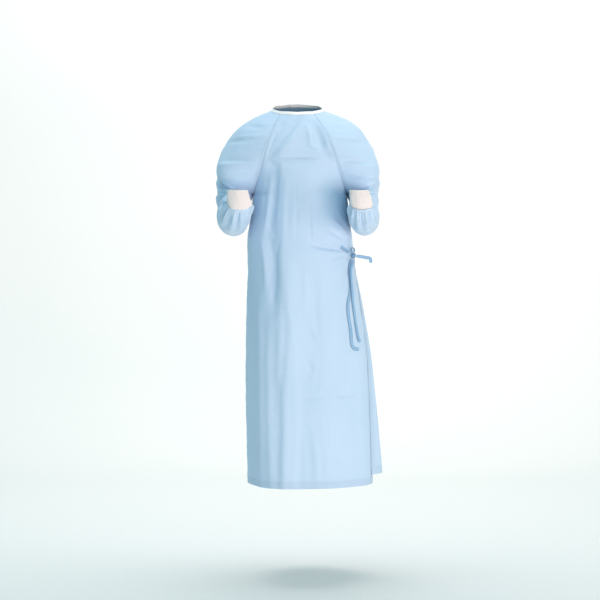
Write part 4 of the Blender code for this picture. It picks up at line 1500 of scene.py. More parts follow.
@dataclass
class WrapBack:
    """The two backs: the outer flap that wraps round to the wearer's left, and the panel under it."""

    form: GownForm
    flap_cells: int = 104
    under_cells: int = 70
    crumple_height: float = 0.0014
    under_crumple_height: float = 0.0008
    crumple_cells: Triple = (24.0, 24.0, 10.0)
    crease_gain: float = 1.9
    over_under: Pair = (0.22, 0.40)
    under_shows: Pair = (0.80, 0.95)
    under_creases_full: float = 0.02
    edge_spread: float = 1.6
    edge_rise: float = 0.25
    flap_cut: Cut = Cut("back_panel_right", "cloth", (0.62, 1.20), Hold.HUNG, "neck_tape", 0.58)
    under_cut: Cut = Cut("back_panel_left", "cloth", (0.42, 1.20), Hold.HUNG, "neck_tape", 0.38)

    def shape_flap(self) -> ClothGrid:
        """Lays the outer flap over the back.

        Returns:
            The flap, with its large folds, its stand from the panel under it and its raised corner.
        """
        plan = self.form.plan
        end, under = self.form.column("flap_end")[:, None], self.form.column("under_end")[:, None]
        own = edged_shares(self.flap_cells)[None]
        shares = own * end
        grid = self.form.wrap(shares)
        cloth = ClothGrid("cloth_back_flap", grid, flip=True)
        sides = smooth_step(0, FADE_SHARE, np.minimum(own, 1 - own))
        heights = drawn(FLAP_FOLDS, grid) * sides * plan.fade()[:, None]
        covered = smooth_step(under - TROUGHS_FADE_FROM, under - TROUGHS_END_AT, shares)
        heights = np.where(heights < 0, heights * (1 - covered), heights)
        flare = np.concatenate([np.zeros(plan.yoke), SKIRT.at(plan.down()).flare])[:, None]
        over = LAYER * smooth_step(FLAP_RISES_FROM, under - TROUGHS_END_AT, shares)
        stand = flare * smooth_step(FLAP_STANDS_FROM, np.minimum(end, 1), shares)
        wrapped = smooth_step(FLAP_WRAPS_FROM, FLAP_LIES_FROM, end)
        lying_from = np.minimum(end - FLAP_LYING_WIDTH, 1)
        lies = wrapped * smooth_step(lying_from, end - FLAP_LYING_EDGE, shares)
        cloth.displace(heights + over - FLAP_EDGE_SETTLES * lies + stand * (1 - FLAP_LIES_BACK * lies))
        fall = np.clip(-grid[..., 2] / -HEM, 0, 1) ** 3
        lift = FLAP_CORNER_LIFT * smooth_step(FLAP_LIFTS_FROM, 1.0, shares) * fall
        cloth.points[:, 2] += lift.ravel()
        return cloth

    def shape_under(self) -> ClothGrid:
        """Lays the panel under the flap.

        Returns:
            The panel.
        """
        start = self.form.column("under_end")[:, None]
        grid = self.form.back(start + (1 - start) * edged_shares(self.under_cells)[None])
        return ClothGrid("cloth_back_under", grid, flip=True)

    def crease_flap(self, cloth: ClothGrid) -> None:
        """Adds the flap's smaller creases, its seam, its turned free edge and its hem.

        Args:
            cloth: the flap.
        """
        at = cloth.lie()
        heights = self.crease_gain * drawn(BACK_CREASES, at.grid)
        heights = heights + self.crumple_height * CRUMPLE.heights(at.grid, self.crumple_cells, 21)
        inner_layer = smooth_step(*self.over_under, at.u / at.u.max())
        heights = np.where(heights < 0, heights * (1 - 0.5 * inner_layer), heights)
        heights = heights * inside(at.u) * inside(-at.v) * (0.4 + 0.6 * inside(at.right))
        heights += SEAM.heights(at.u, at.v, 22) + HEM_LOOK.heights(at.right * self.edge_spread) * self.edge_rise
        heights += HEM_LOOK.heights(at.below)
        layered_and_shaded = ((DOUBLED_SEAM, at.u), (DOUBLED_EDGE, at.right), (DOUBLED_HEM, at.below))
        cloth.layered_and_shaded = np.maximum.reduce([within(limits, away) for limits, away in layered_and_shaded])
        cloth.displace(heights)

    def crease_under(self, cloth: ClothGrid) -> None:
        """Adds the under panel's seam, hem and light creases, kept below the flap.

        Args:
            cloth: the panel.
        """
        at = cloth.lie()
        shown = smooth_step(*self.under_shows, at.u / at.u.max())
        most = self.under_crumple_height
        heights = most * CRUMPLE.heights(at.grid, self.crumple_cells, 31) * (0.25 + 0.75 * shown)
        heights = np.minimum(heights, most) * smooth_step(0, self.under_creases_full, at.away) * inside(-at.v)
        heights += SEAM.heights(at.right, at.v, 32)
        heights += HEM_LOOK.heights(at.below)
        cloth.layered_and_shaded = np.maximum(within(DOUBLED_SEAM, at.away), within(DOUBLED_HEM, at.below))
        cloth.displace(heights)

    def dress(self, flap: ClothGrid, under: ClothGrid, material: bpy.types.Material) -> None:
        """Makes the shells of the two backs, logs them and hides the solids that they replace."""
        self.flap_cut.dress_cloth(flap, material)
        self.under_cut.dress_cloth(under, material)


def near_cuff(along: Array, rings: Pair) -> Array:
    """Returns 0 farther from the cuff than the first number of rings and 1 nearer than the second."""
    return smooth_step(LAST_RING - rings[0], LAST_RING - rings[1], along)


@dataclass
class Sleeve:
    """A raglan sleeve from the neck to the cuff, closed below the underarm and gathered into the cuff.

    Its pairs of numbers say how many rings from the cuff a change starts and ends.
    """

    form: GownForm
    side: Side
    seed: int
    cells: int = 84
    rings: int = 112
    gathers: int = 10
    gather_height: float = 0.0034
    fine_gathers: int = 27
    fine_gather_height: float = 0.0018
    crumple_height: float = 0.0015
    crumple_cells: Triple = (20.0, 20.0, 20.0)
    crease_gain: float = 1.7
    swing: float = 12.0
    folds_end: Pair = (1.5, 0.2)
    gathers_grow: Pair = (4.0, 1.2)
    gathers_end: Pair = (0.7, 0)
    creases_sink: Pair = (1.2, 0)
    fine_grow: Pair = (2.2, 0.5)
    fine_end: Pair = (0.3, 0)
    seam_sinks: Pair = (0.25, 0)

    def cut(self) -> Cut:
        """What the sleeve is."""
        solid = f"sleeve_{self.side.name.lower()}"
        return Cut(solid, "cloth", (0.44, 0.78), Hold.HUNG, "neck_tape", 0.25)

    def half_shares(self) -> Array:
        """Shares of the way along half a row, closer beside the seam."""
        near = np.array([0.0, 0.006, 0.012, 0.020, 0.030])
        return np.concatenate([near, np.linspace(0.042, 1, self.cells // 2)])

    def ring_places(self) -> Array:
        """Places of the closed rings."""
        return np.linspace(0, LAST_RING, self.rings + 1)[1:]

    def along(self) -> Array:
        """Places along the sleeve, row by row: below 0 on the yoke, and up to the last ring at the cuff."""
        above = (self.form.plan.seam() - 1) * YOKE_RINGS
        return np.concatenate([above, self.ring_places()])[:, None]

    def around(self) -> Array:
        """Shares of the way round a row, close at both of its ends."""
        half = self.half_shares()
        return np.concatenate([half, 1 + (1 - half[::-1])[1:]]) / 2

    def shape(self) -> ClothGrid:
        """Lays the cloth on its form with its bulges and gathers.

        Returns:
            The sleeve.
        """
        half, wanted = self.half_shares(), self.around()
        even = np.concatenate([half, 1 + half[1:]]) / 2
        rows = self.form.sleeve(self.side, self.ring_places(), half)
        grid = np.stack([read_line(wanted, even, row) for row in rows])
        name = f"cloth_sleeve_{self.side.name.lower()}"
        cloth = ClothGrid(name, grid, self.side is Side.RIGHT, welded_from=self.form.plan.yoke - 1)
        along, angle = self.along(), (wanted * 360)[None]
        heights = sum(fold.heights(along, angle) for fold in SLEEVE_FOLDS)
        heights = heights * (1 - near_cuff(along, self.folds_end))
        deep = near_cuff(along, self.gathers_grow) * (1 - near_cuff(along, self.gathers_end))
        heights += self.gather_height * deep * np.cos(np.radians(angle * self.gathers))
        cloth.displace(heights * self.seam_fade(along, angle))
        return cloth

    def seam_fade(self, along: Array, angle: Array) -> Array:
        """How much of a fold shows: none at the raglan seams and the neck.

        Args:
            along: places along the sleeve.
            angle: degrees round it.

        Returns:
            A share for each point.
        """
        from_side = np.minimum(angle, 360 - angle) / 360
        side = np.where(along < 0, smooth_step(0, FADE_SHARE, from_side), 1.0)
        side = side + (1 - side) * smooth_step(0, 1.5, along)
        return side * smooth_step(0, 2, along + YOKE_RINGS)

    def crease(self, cloth: ClothGrid) -> None:
        """Adds the smaller creases, the seam down the inner side and the fine gathers.

        Args:
            cloth: the sleeve.
        """
        at, along, angle = cloth.lie(), self.along(), (self.around() * 360)[None]
        swing = self.swing * self.side.value
        heights = self.crease_gain * sum(fold.heights(along, angle + swing) for fold in SLEEVE_CREASES)
        heights = heights + self.crumple_height * CRUMPLE.heights(at.grid, self.crumple_cells, self.seed)
        heights = heights * inside(at.away) * inside(-at.v)
        heights = heights * (1 - 0.7 * near_cuff(along, self.creases_sink))
        gathered = near_cuff(along, self.fine_grow) * (1 - near_cuff(along, self.fine_end))
        wobble = lattice_noise(combine(angle / 40, along * 0.6, 0.5), self.seed + 3)
        waves = np.cos(np.radians(angle * self.fine_gathers) + 2.2 * wobble)
        heights += self.fine_gather_height * gathered * waves
        heights += SEAM.heights(at.u, at.v, self.seed + 1) + SEAM.heights(at.right, at.v, self.seed + 2)
        heights *= 1 - near_cuff(along, self.seam_sinks) * 0.5
        closed = slice(self.form.plan.yoke - 1, None)
        heights[closed, -1] = heights[closed, 0]
        cloth.layered_and_shaded = within(DOUBLED_SEAM, at.away)
        cloth.displace(heights)

    def dress(self, cloth: ClothGrid, material: bpy.types.Material) -> None:
        """Makes the sleeve's shell, logs it and hides the solid that it replaces."""
        self.cut().dress_cloth(cloth, material)


@dataclass
class KnitCuff:
    """A bent tube of rib knit."""

    side: Side
    material: bpy.types.Material
    ribs: int = 56
    cells_a_rib: int = 6
    rows: int = 30
    rib_height: float = 0.0009
    wave_height: float = 0.0013
    edge_roll: float = 0.0010
    edge_share: float = 0.05
    sunk: float = 0.0004
    wall: float = 0.0014

    def build(self) -> bpy.types.Object:
        """Builds the cuff with its ribs, soft waves and rolled edge.

        Returns:
            The cuff.
        """
        name = self.side.name.lower()
        along = np.linspace(0, 1, self.rows)
        rows = CUFF.at(along)
        half = getattr(rows, f"{name}_half")
        middle = outlined(self.side, getattr(rows, name), rows.y, rows.z)
        width = combine(half, 0.0, 0.0) * self.side.value
        cells = self.ribs * self.cells_a_rib
        shares = np.linspace(0, 1, cells // 2 + 1)
        grid = half_loops(middle - width, middle + width, rows.turn, half, half, shares)
        cloth = ClothGrid(f"knit_cuff_{name}", grid, self.side is Side.RIGHT, welded_from=0)
        angle = np.linspace(0, 2 * np.pi, cells + 1)[None]
        heights = self.rib_height * np.abs(np.cos(angle * self.ribs / 2)) ** 0.7
        place = combine(np.cos(angle) * 2.4, np.sin(angle) * 2.4, along[:, None] * 2.2)
        heights = heights + self.wave_height * lattice_noise(place, 41 + self.side.value)
        edge = np.minimum(along, 1 - along)[:, None]
        heights = heights - self.edge_roll * (1 - smooth_step(0, self.edge_share, edge))
        heights[:, -1] = heights[:, 0]
        cloth.displace(heights - self.sunk)
        return cloth.shell(self.wall, self.material)

    def dress(self) -> None:
        """Builds the cuff, logs it and hides the solid that it replaces."""
        name = self.side.name.lower()
        Cut(f"cuff_{name}", "knit", (0.21, 0.05), Hold.STRETCHED, f"cloth_sleeve_{name}").dress(self.build())


@dataclass
class NeckBinding:
    """A folded tape round the neck, made from the top edges of the pieces under it, in their order."""

    material: bpy.types.Material
    order: Sequence[tuple[ClothGrid, int]]
    height: float = 0.010
    lift: float = 0.6
    wall: float = 0.0022
    thick: float = 0.0005
    proud: float = 0.0004
    gap: float = 0.0004
    bulge: float = 0.0002
    waver: float = 0.0004
    waver_length: float = 0.03
    rows_down: int = 3
    stitches_up: float = 0.0018
    stitches_out: float = 0.0003
    outside: tuple[float, ...] = (0.0, 0.08, 0.35, 0.7, 0.86)
    inside: tuple[float, ...] = (0.86, 0.5, 0.1, 0.0)
    cut: Cut = Cut("neck_binding", "binding", (0.52, 0.024), Hold.STRETCHED, "cloth_front_panel")

    def edge(self) -> tuple[Array, Array, Array]:
        """Reads the neck's edge.

        Returns:
            Its points, its outward directions and its upward ones.
        """
        points, outward, rise = [], [], []
        for cloth, way in self.order:
            row = cloth.grid()[0, ::way]
            start = 1 if points else 0
            points.extend(row[start:])
            outward.extend(cloth.directions()[0, ::way][start:])
            rise.extend(unit(row - cloth.grid()[self.rows_down, ::way])[start:])
        return np.array(points), np.array(outward), np.array(rise)

    def eased(self) -> tuple[Array, Array, Array]:
        """Smooths the directions of the neck's edge and turns the upward ones a little more upright.

        Returns:
            The edge's points, its outward directions and its upward ones.
        """
        points, *ways = self.edge()
        outward, rise = (evened(np.pad(way, ((2, 2), (0, 0)), mode="edge")) for way in ways)
        return points, unit(outward), unit(rise + [0, 0, self.lift])

    def sewn(self) -> Array:
        """The line of stitches near the tape's lower edge."""
        points, outward, rise = self.eased()
        return points + outward * (self.proud + self.stitches_out) + rise * (self.gap + self.stitches_up)

    def build(self) -> bpy.types.Object:
        """Wraps the tape over the edge: outside, a round fold and inside.

        Returns:
            The tape.
        """
        points, outward, rise = self.eased()
        run = run_along(points)
        waver = (lattice_noise(combine(run / self.waver_length, 0.0, 0.0), 71) * self.waver)[:, None]
        rows = []
        base = points + outward * self.proud + rise * self.gap
        radius = self.wall / 2
        for level in self.outside:
            bulge = outward * (self.bulge * np.sin(level * np.pi) + waver * level)
            rows.append(base + rise * (self.height * level) + bulge)
        for angle in np.linspace(0, np.pi, 7)[1:-1]:
            across = -outward * (radius - radius * np.cos(angle))
            up = rise * (self.height - radius + radius * np.sin(angle))
            rows.append(base + across + up + outward * waver)
        for level in self.inside:
            up = rise * (self.height * level)
            rows.append(base - outward * self.wall + up + outward * waver * level)
        return ClothGrid("neck_tape", np.stack(rows[::-1]), flip=True).shell(self.thick, self.material)

    def dress(self) -> None:
        """Builds the tape, logs it and hides the solid that it replaces."""
        self.cut.dress(self.build())


@dataclass
class NeckTab:
    """The hook and loop patch that closes the neck at the back."""

    material: bpy.types.Material
    columns: Pair = (6 / 13, 11 / 13)
    rows: Pair = (0.25 / 9, 0.95 / 9)
    cells: tuple[int, int] = (18, 40)
    border: tuple[int, int] = (2, 3)
    wall: float = 0.0014
    raised: float = 0.0004
    clear: float = 0.0003
    cut: Cut = Cut("neck_tab", "binding", (0.045, 0.018), Hold.STRETCHED, "cloth_back_under")

    def build(self, under: ClothGrid, plan: RowPlan) -> bpy.types.Object:
        """Lays the patch on the under panel and raises its field of loops.

        Args:
            under: the under panel.
            plan: its rows.

        Returns:
            The patch.
        """
        share = under.flat[0, :, 0] / under.flat[0, -1, 0]
        grid, facing = under.grid(), under.directions()
        across = np.linspace(*self.columns, self.cells[1])
        down = np.linspace(*self.rows, self.cells[0]) * (plan.yoke - 1)
        low = np.floor(down).astype(int)
        points, normals = [], []
        for start, part in zip(low, down - low):
            first, second = (read_line(across, share, grid[row]) for row in (start, start + 1))
            points.append(first * (1 - part) + second * part)
            normals.append(read_line(across, share, facing[start]))
        steps = [np.minimum(np.arange(count), np.arange(count)[::-1]) for count in self.cells]
        field = np.outer(*(smooth_step(0, wide, step) for wide, step in zip(self.border, steps))) * self.raised
        out = self.clear + self.wall - self.raised + field
        outer = np.array(points) + np.array(normals) * out[..., None]
        return ClothGrid("neck_closure", outer, flip=True).shell(self.wall - self.raised, self.material)

    def dress(self, under: ClothGrid, plan: RowPlan) -> None:
        """Builds the patch, logs it and hides the solid that it replaces."""
        self.cut.dress(self.build(under, plan))


@dataclass(frozen=True)
class Stretch:
    """A stretch of the tie: its solid, spots, number of points, seed, pinched ends and length.

    The spots are in millimetres: x, z and how far out on the front, or places from the knot's middle.
    """

    solid: str
    spots: Sequence[Triple]
    count: int
    seed: int
    pinched: tuple[bool, bool]
    length: float

    def curve(self) -> Array:
        """The smooth curve through the spots, in metres."""
        return smooth_curve(np.array(self.spots) / 1000, self.count)


TIE_FRONT = Stretch(
    "waist_tie_front",
    (
        (124, -426, 0), (136, -434, 1.5), (147.5, -444, 5),
    ),
    24, 51, (False, True), 0.036,
)
TIE_TAIL_1 = Stretch(
    "waist_tie_tail_1",
    (
        (154.5, -465, 5), (152, -476, 3), (149, -495, 1), (152, -530, 0),
        (153, -548, 0), (152, -569, 0), (146, -597, 0), (146.5, -632, 0),
        (154, -681, 0), (157, -722, 0), (164, -737, 1), (178, -740, 2),
    ),
    130, 52, (True, False), 0.31,
)
TIE_TAIL_2 = Stretch(
    "waist_tie_tail_2",
    (
        (160, -467, 8), (156, -476, 6.5), (152, -495, 4.5), (153.5, -530, 3.5),
        (155, -548, 3.5), (157, -569, 3), (162, -607, 1), (169, -655, 0),
        (175.5, -699, 1), (181, -718, 2),
    ),
    120, 53, (True, False), 0.265,
)
TIE_END = Stretch(
    "waist_tie_end",
    (
        (7.7, 0, -1.5), (24, 2, -3.5), (40, 4, -6.5), (51, 6, -8.5),
        (54, 6, -15), (53, 6, -22.5),
    ),
    36, 54, (True, False), 0.060,
)
TIE_LOOP = Stretch(
    "waist_tie_loop",
    (
        (-4, 0, 10.3), (-7, -2, 19), (-2, -4, 25), (3.5, -3, 18.5),
        (3.5, 0, 10.3),
    ),
    36, 55, (True, True), 0.040,
)
TIE_ROUND = Stretch("waist_tie_flap", (), 40, 56, (False, True), 0.10)


def smooth_curve(rows: Array, count: int) -> Array:
    """Reads the smooth curve through a few points.

    Args:
        rows: the points.
        count: how many points to read.

    Returns:
        The points along it.
    """
    table = Table("key a b c", [(key, *row) for key, row in enumerate(rows)])
    found = table.at(np.linspace(0, len(rows) - 1, count))
    return combine(found.a, found.b, found.c)


@dataclass
class WaistTie:
    """The flat cloth tie: its knot on the wearer's left, the stretches that pull on it, loop and ends."""

    front: ClothGrid
    flap: ClothGrid
    material: bpy.types.Material
    width: float = 0.010
    columns: int = 9
    wall: float = 0.0009
    clear: float = 0.0018
    uneven: float = 0.0006
    uneven_length: float = 0.02
    stitch_dip: float = 0.00025
    stitch_column: float = 0.72
    pinched_width: float = 0.62
    pinched_share: float = 0.10
    level: float = -0.452
    knot_x: float = 0.158
    knot_out: float = 0.0077
    knot_size: Triple = (0.020, 0.017, 0.025)
    knot_wall: float = 0.0006
    knot_cells: tuple[int, int] = (48, 25)
    round_out: float = 0.0035

    def on_front(self, spots: Array) -> tuple[Array, Array]:
        """Finds points on the front panel's left half, moved out.

        Args:
            spots: x, z and how far out each point is.

        Returns:
            The points, and the outward directions there.
        """
        half = self.front.index.shape[1] // 2
        grid, facing = self.front.grid()[:, half:], self.front.directions()[:, half:]
        levels = grid[:, 0, 2]
        points, outward = [], []
        for x, z, out in spots:
            row = int(np.clip(np.searchsorted(-levels, -z) - 1, 0, len(levels) - 2))
            share = (levels[row] - z) / (levels[row] - levels[row + 1])
            line = grid[row] * (1 - share) + grid[row + 1] * share
            ways = facing[row] * (1 - share) + facing[row + 1] * share
            normal = unit(read_line(x, line[:, 0], ways))
            points.append(read_line(x, line[:, 0], line) + normal * out)
            outward.append(normal)
        return np.array(points), np.array(outward)

    def ribbon(self, name: str, stretch: Stretch, spine: Array, across: Array) -> None:
        """Builds and dresses a flat folded strip of cloth.

        Args:
            name: the piece's name.
            stretch: which stretch of the tie it is.
            spine: points along its middle.
            across: the directions of its width.
        """
        across = unit(across)
        share = np.linspace(0, 1, len(spine))
        squeeze = np.ones(len(spine))
        for pinched, near in zip(stretch.pinched, (share, 1 - share)):
            if pinched:
                opened = (1 - self.pinched_width) * smooth_step(0.0, self.pinched_share, near)
                squeeze *= self.pinched_width + opened
        facing = unit(np.cross(np.gradient(spine, axis=0), across))
        columns = np.linspace(-1, 1, self.columns)
        run = run_along(spine)
        rows = []
        for column in columns:
            uneven = lattice_noise(combine(run / self.uneven_length, column, 0.0), stretch.seed) * self.uneven
            stitched = -self.stitch_dip * np.exp(-(((abs(column) - self.stitch_column) / 0.12) ** 2))
            lifted = 0.0005 * (1 - column**2) * (1 - squeeze)[:, None] * 2
            side = across * (column * self.width / 2 * squeeze)[:, None]
            rows.append(spine + side + facing * (uneven + stitched)[:, None] + facing * lifted)
        cloth = ClothGrid(name, np.stack(rows, axis=1), flip=False)
        # Darker edges: the folded, doubled cloth and painted shade along the tie's edges
        cloth.layered_and_shaded = np.tile(smooth_step(0.55, 0.85, np.abs(columns)), (len(spine), 1))
        cloth.points = cloth.points + cloth.normals * self.wall / 2
        cut = Cut(stretch.solid, "tie", (self.width, stretch.length), Hold.HUNG, "tie_knot")
        cut.dress(cloth.shell(self.wall, self.material))

    def on_cloth(self, name: str, stretch: Stretch) -> None:
        """Lays a stretch of the tie on the front panel.

        Args:
            name: the piece's name.
            stretch: the stretch.
        """
        spine, outward = self.on_front(stretch.curve())
        for values in (spine, outward):
            values[2:-2] = evened(values)
        across = np.cross(np.gradient(spine, axis=0), outward)
        self.ribbon(name, stretch, spine + outward * self.clear, across)

    def middle(self) -> tuple[Array, Array]:
        """The knot's middle and its outward direction."""
        spot, outward = self.on_front(np.array([[self.knot_x, self.level, self.knot_out]]))
        return spot[0], outward[0]

    def knot(self) -> bpy.types.Object:
        """Builds a pulled knot: a soft lump with two bands of tie wrapped round it.

        Returns:
            The knot.
        """
        middle, outward = self.middle()
        out = unit(outward * [1, 1, 0])
        up = np.array([0.0, 0.0, 1.0])
        side = np.cross(out, up)
        size = np.array(self.knot_size) * 0.36
        angle = np.linspace(0, 2 * np.pi, self.knot_cells[0] + 1)[None]
        height = np.linspace(-1, 1, self.knot_cells[1])[:, None]
        around = np.sqrt(np.clip(1 - np.abs(height) ** 2.4, 0.02, 1))
        folds = 1 + 0.10 * np.sin(angle * 3 + height * 4) + 0.05 * np.sin(angle * 7 - height * 6)
        band = 1 + 0.20 * np.exp(-(((height - 0.35 * np.sin(angle)) / 0.30) ** 2))
        reach = around * folds * band * 0.92
        x = np.cos(angle) * reach * size[0]
        y = np.sin(angle) * reach * size[1]
        z = height * size[2] * np.ones_like(angle)
        grid = middle + x[..., None] * side + y[..., None] * out + z[..., None] * up
        grid[:, -1] = grid[:, 0]
        cloth = ClothGrid("tie_knot", grid, flip=False, welded_from=0)
        # The whole knot takes the darker colour as painted shade of its folds
        cloth.layered_and_shaded[:] = 1.0
        return cloth.shell(self.knot_wall, self.material)

    def flap_stretch(self) -> tuple[Array, Array]:
        """The stretch from the flap's free edge round the side to the knot.

        Returns:
            The points along its middle, and the directions of its width.
        """
        rows, outs = [], []
        for cloth, columns in ((self.flap, (-9, -1)), (self.front, (-1, -9))):
            grid, facing = cloth.grid(), cloth.directions()
            for column in columns:
                height = -grid[:, column, 2]
                rows.append(read_line(-self.level, height, grid[:, column]))
                outs.append(read_line(-self.level, height, facing[:, column]))
        spine, outward = np.array(rows), unit(np.array(outs))
        lifts = np.array([0, 0, self.round_out, self.round_out])[:, None]
        spine = spine + outward * self.clear + outward * lifts
        last = self.middle()[0]
        last = last + unit(spine[-1] - last) * self.knot_size[0] * 0.42
        smooth = smooth_curve(np.vstack([spine, last]), TIE_ROUND.count)
        ways = smooth_curve(np.vstack([outward, outward[-1:]]), TIE_ROUND.count)
        return smooth, np.cross(np.gradient(smooth, axis=0), ways)

    def dress(self) -> None:
        """Builds every stretch and the knot, logs them and hides the solids that they replace."""
        self.on_cloth("tie_pull", TIE_FRONT)
        self.on_cloth("tie_tail_long", TIE_TAIL_1)
        self.on_cloth("tie_tail_short", TIE_TAIL_2)
        middle = self.middle()[0]
        end, loop = (stretch.curve() + middle for stretch in (TIE_END, TIE_LOOP))
        self.ribbon("tie_end", TIE_END, end, np.cross(np.gradient(end, axis=0), (0.25, -1.0, 0.0)))
        self.ribbon("tie_loop", TIE_LOOP, loop, np.tile((0.2, -1.0, 0.0), (len(loop), 1)))
        self.ribbon("tie_round", TIE_ROUND, *self.flap_stretch())
        Cut("waist_tie_knot", "tie", (0.016, 0.05), Hold.GATHERED, "cloth_front_panel").dress(self.knot())


@dataclass(frozen=True)
class StitchRun:
    """Lines of sewing, made by Geometry Nodes: a short thread at every step along each line."""

    name: str
    slot: str
    pitch: float = 0.0032
    length: float = 0.0021
    thick: float = 0.00035
    segments: int = 6
    rings: int = 4

    def tree(self, material: bpy.types.Material) -> tuple[bpy.types.NodeTree, dict[str, str]]:
        """Builds the node tree.

        Args:
            material: the thread.

        Returns:
            The tree, and the identifier of each named input.
        """
        tree = bpy.data.node_groups.new(self.name, "GeometryNodeTree")
        face = tree.interface
        face.new_socket("Lines", in_out="INPUT", socket_type="NodeSocketGeometry")
        for title in ("Pitch", "Length", "Thickness"):
            face.new_socket(title, in_out="INPUT", socket_type="NodeSocketFloat")
        face.new_socket("Stitches", in_out="OUTPUT", socket_type="NodeSocketGeometry")
        wire = Wiring(tree)
        given, put = wire.add("NodeGroupInput").outputs, wire.add("NodeGroupOutput")
        steps = {"Curve": given["Lines"], "Length": given["Pitch"]}
        spaced = wire.add("GeometryNodeResampleCurve", steps, mode="LENGTH").outputs["Curve"]
        ball = {"Segments": self.segments, "Rings": self.rings, "Radius": 0.5}
        bead = wire.add("GeometryNodeMeshUVSphere", ball).outputs["Mesh"]
        sizes = {"X": given["Thickness"], "Y": given["Thickness"], "Z": given["Length"]}
        size = wire.add("ShaderNodeCombineXYZ", sizes).outputs["Vector"]
        tangent = {"Vector": wire.add("GeometryNodeInputTangent").outputs["Tangent"]}
        along = wire.add("FunctionNodeAlignEulerToVector", tangent, axis="Z").outputs["Rotation"]
        placed = {"Points": spaced, "Instance": bead, "Rotation": along, "Scale": size}
        copies = wire.add("GeometryNodeInstanceOnPoints", placed).outputs["Instances"]
        real = wire.add("GeometryNodeRealizeInstances", {"Geometry": copies}).outputs["Geometry"]
        dressed = wire.add("GeometryNodeSetMaterial", {"Geometry": real, "Material": material})
        wire.feed(put, {"Stitches": dressed.outputs["Geometry"]})
        return tree, {item.name: item.identifier for item in face.items_tree if item.in_out == "INPUT"}

    def build(self, lines: Sequence[Array], material: bpy.types.Material) -> bpy.types.Object:
        """Sews the lines.

        Args:
            lines: points along each line of stitches.
            material: the thread.

        Returns:
            One mesh of every stitch.
        """
        curve = bpy.data.curves.new(self.name, "CURVE")
        curve.dimensions = "3D"
        for line in lines:
            spline = curve.splines.new("POLY")
            spline.points.add(len(line) - 1)
            places = np.column_stack([line, np.ones(len(line))])
            spline.points.foreach_set("co", places.astype(np.float32).ravel())
        guide = link_piece(self.name + "_lines", curve)
        tree, named = self.tree(material)
        sewing = guide.modifiers.new("sewing", "NODES")
        sewing.node_group = tree
        for title, value in (("Pitch", self.pitch), ("Length", self.length), ("Thickness", self.thick)):
            sewing[named[title]] = value
        bpy.context.view_layer.update()
        seen = guide.evaluated_get(bpy.context.evaluated_depsgraph_get())
        mesh = bpy.data.meshes.new_from_object(seen)
        mesh.name = self.name
        mesh.shade_smooth()
        bpy.data.objects.remove(guide)
        return link_piece(self.name, mesh)

    def dress(self, lines: Sequence[Array], material: bpy.types.Material) -> None:
        """Sews the lines and logs the stitches."""
        attach(self.build(lines, material))


def column_line(cloth: ClothGrid, column: int, first: int, last: int) -> Array:
    """A line down a column of the cloth, a little proud of it."""
    return cloth.grid()[first:last, column] + cloth.directions()[first:last, column] * THREAD_PROUD


def ring_line(cloth: ClothGrid, row: int) -> Array:
    """A line round a row of the cloth, a little proud of it."""
    return cloth.grid()[row] + cloth.directions()[row] * THREAD_PROUD


def hem_line(cloth: ClothGrid, above: float) -> Array:
    """A line across the cloth, a little proud of it.

    Args:
        cloth: the piece.
        above: how high above its hem the line is.

    Returns:
        Its points.
    """
    grid, facing = cloth.grid(), cloth.face_out()[cloth.index]
    line = []
    for column in range(grid.shape[1]):
        wanted, height = -(grid[-1, column, 2] + above), -grid[:, column, 2]
        way = read_line(wanted, height, facing[:, column])
        line.append(read_line(wanted, height, grid[:, column]) + way * THREAD_PROUD)
    return np.array(line)


@dataclass(frozen=True)
class Lamp:
    """A large flat lamp: where it stands, where it points, its width and height, its power and its colour."""

    name: str
    place: Triple
    aim: Triple
    size: Pair
    power: float
    colour: Triple

    def build(self) -> None:
        """Sets the lamp up."""
        light = bpy.data.lights.new(self.name, "AREA")
        light.shape = "RECTANGLE"
        light.size, light.size_y = self.size
        light.energy = self.power
        light.color = self.colour
        holder = link_piece(self.name, light)
        holder.location = self.place
        away = -unit(np.array(self.aim) - np.array(self.place))
        side = unit(np.cross([0.0, 0.0, 1.0], away))
        axes = np.stack([side, np.cross(away, side), away], axis=-1)
        holder.rotation_euler = Matrix(axes.tolist()).to_euler()


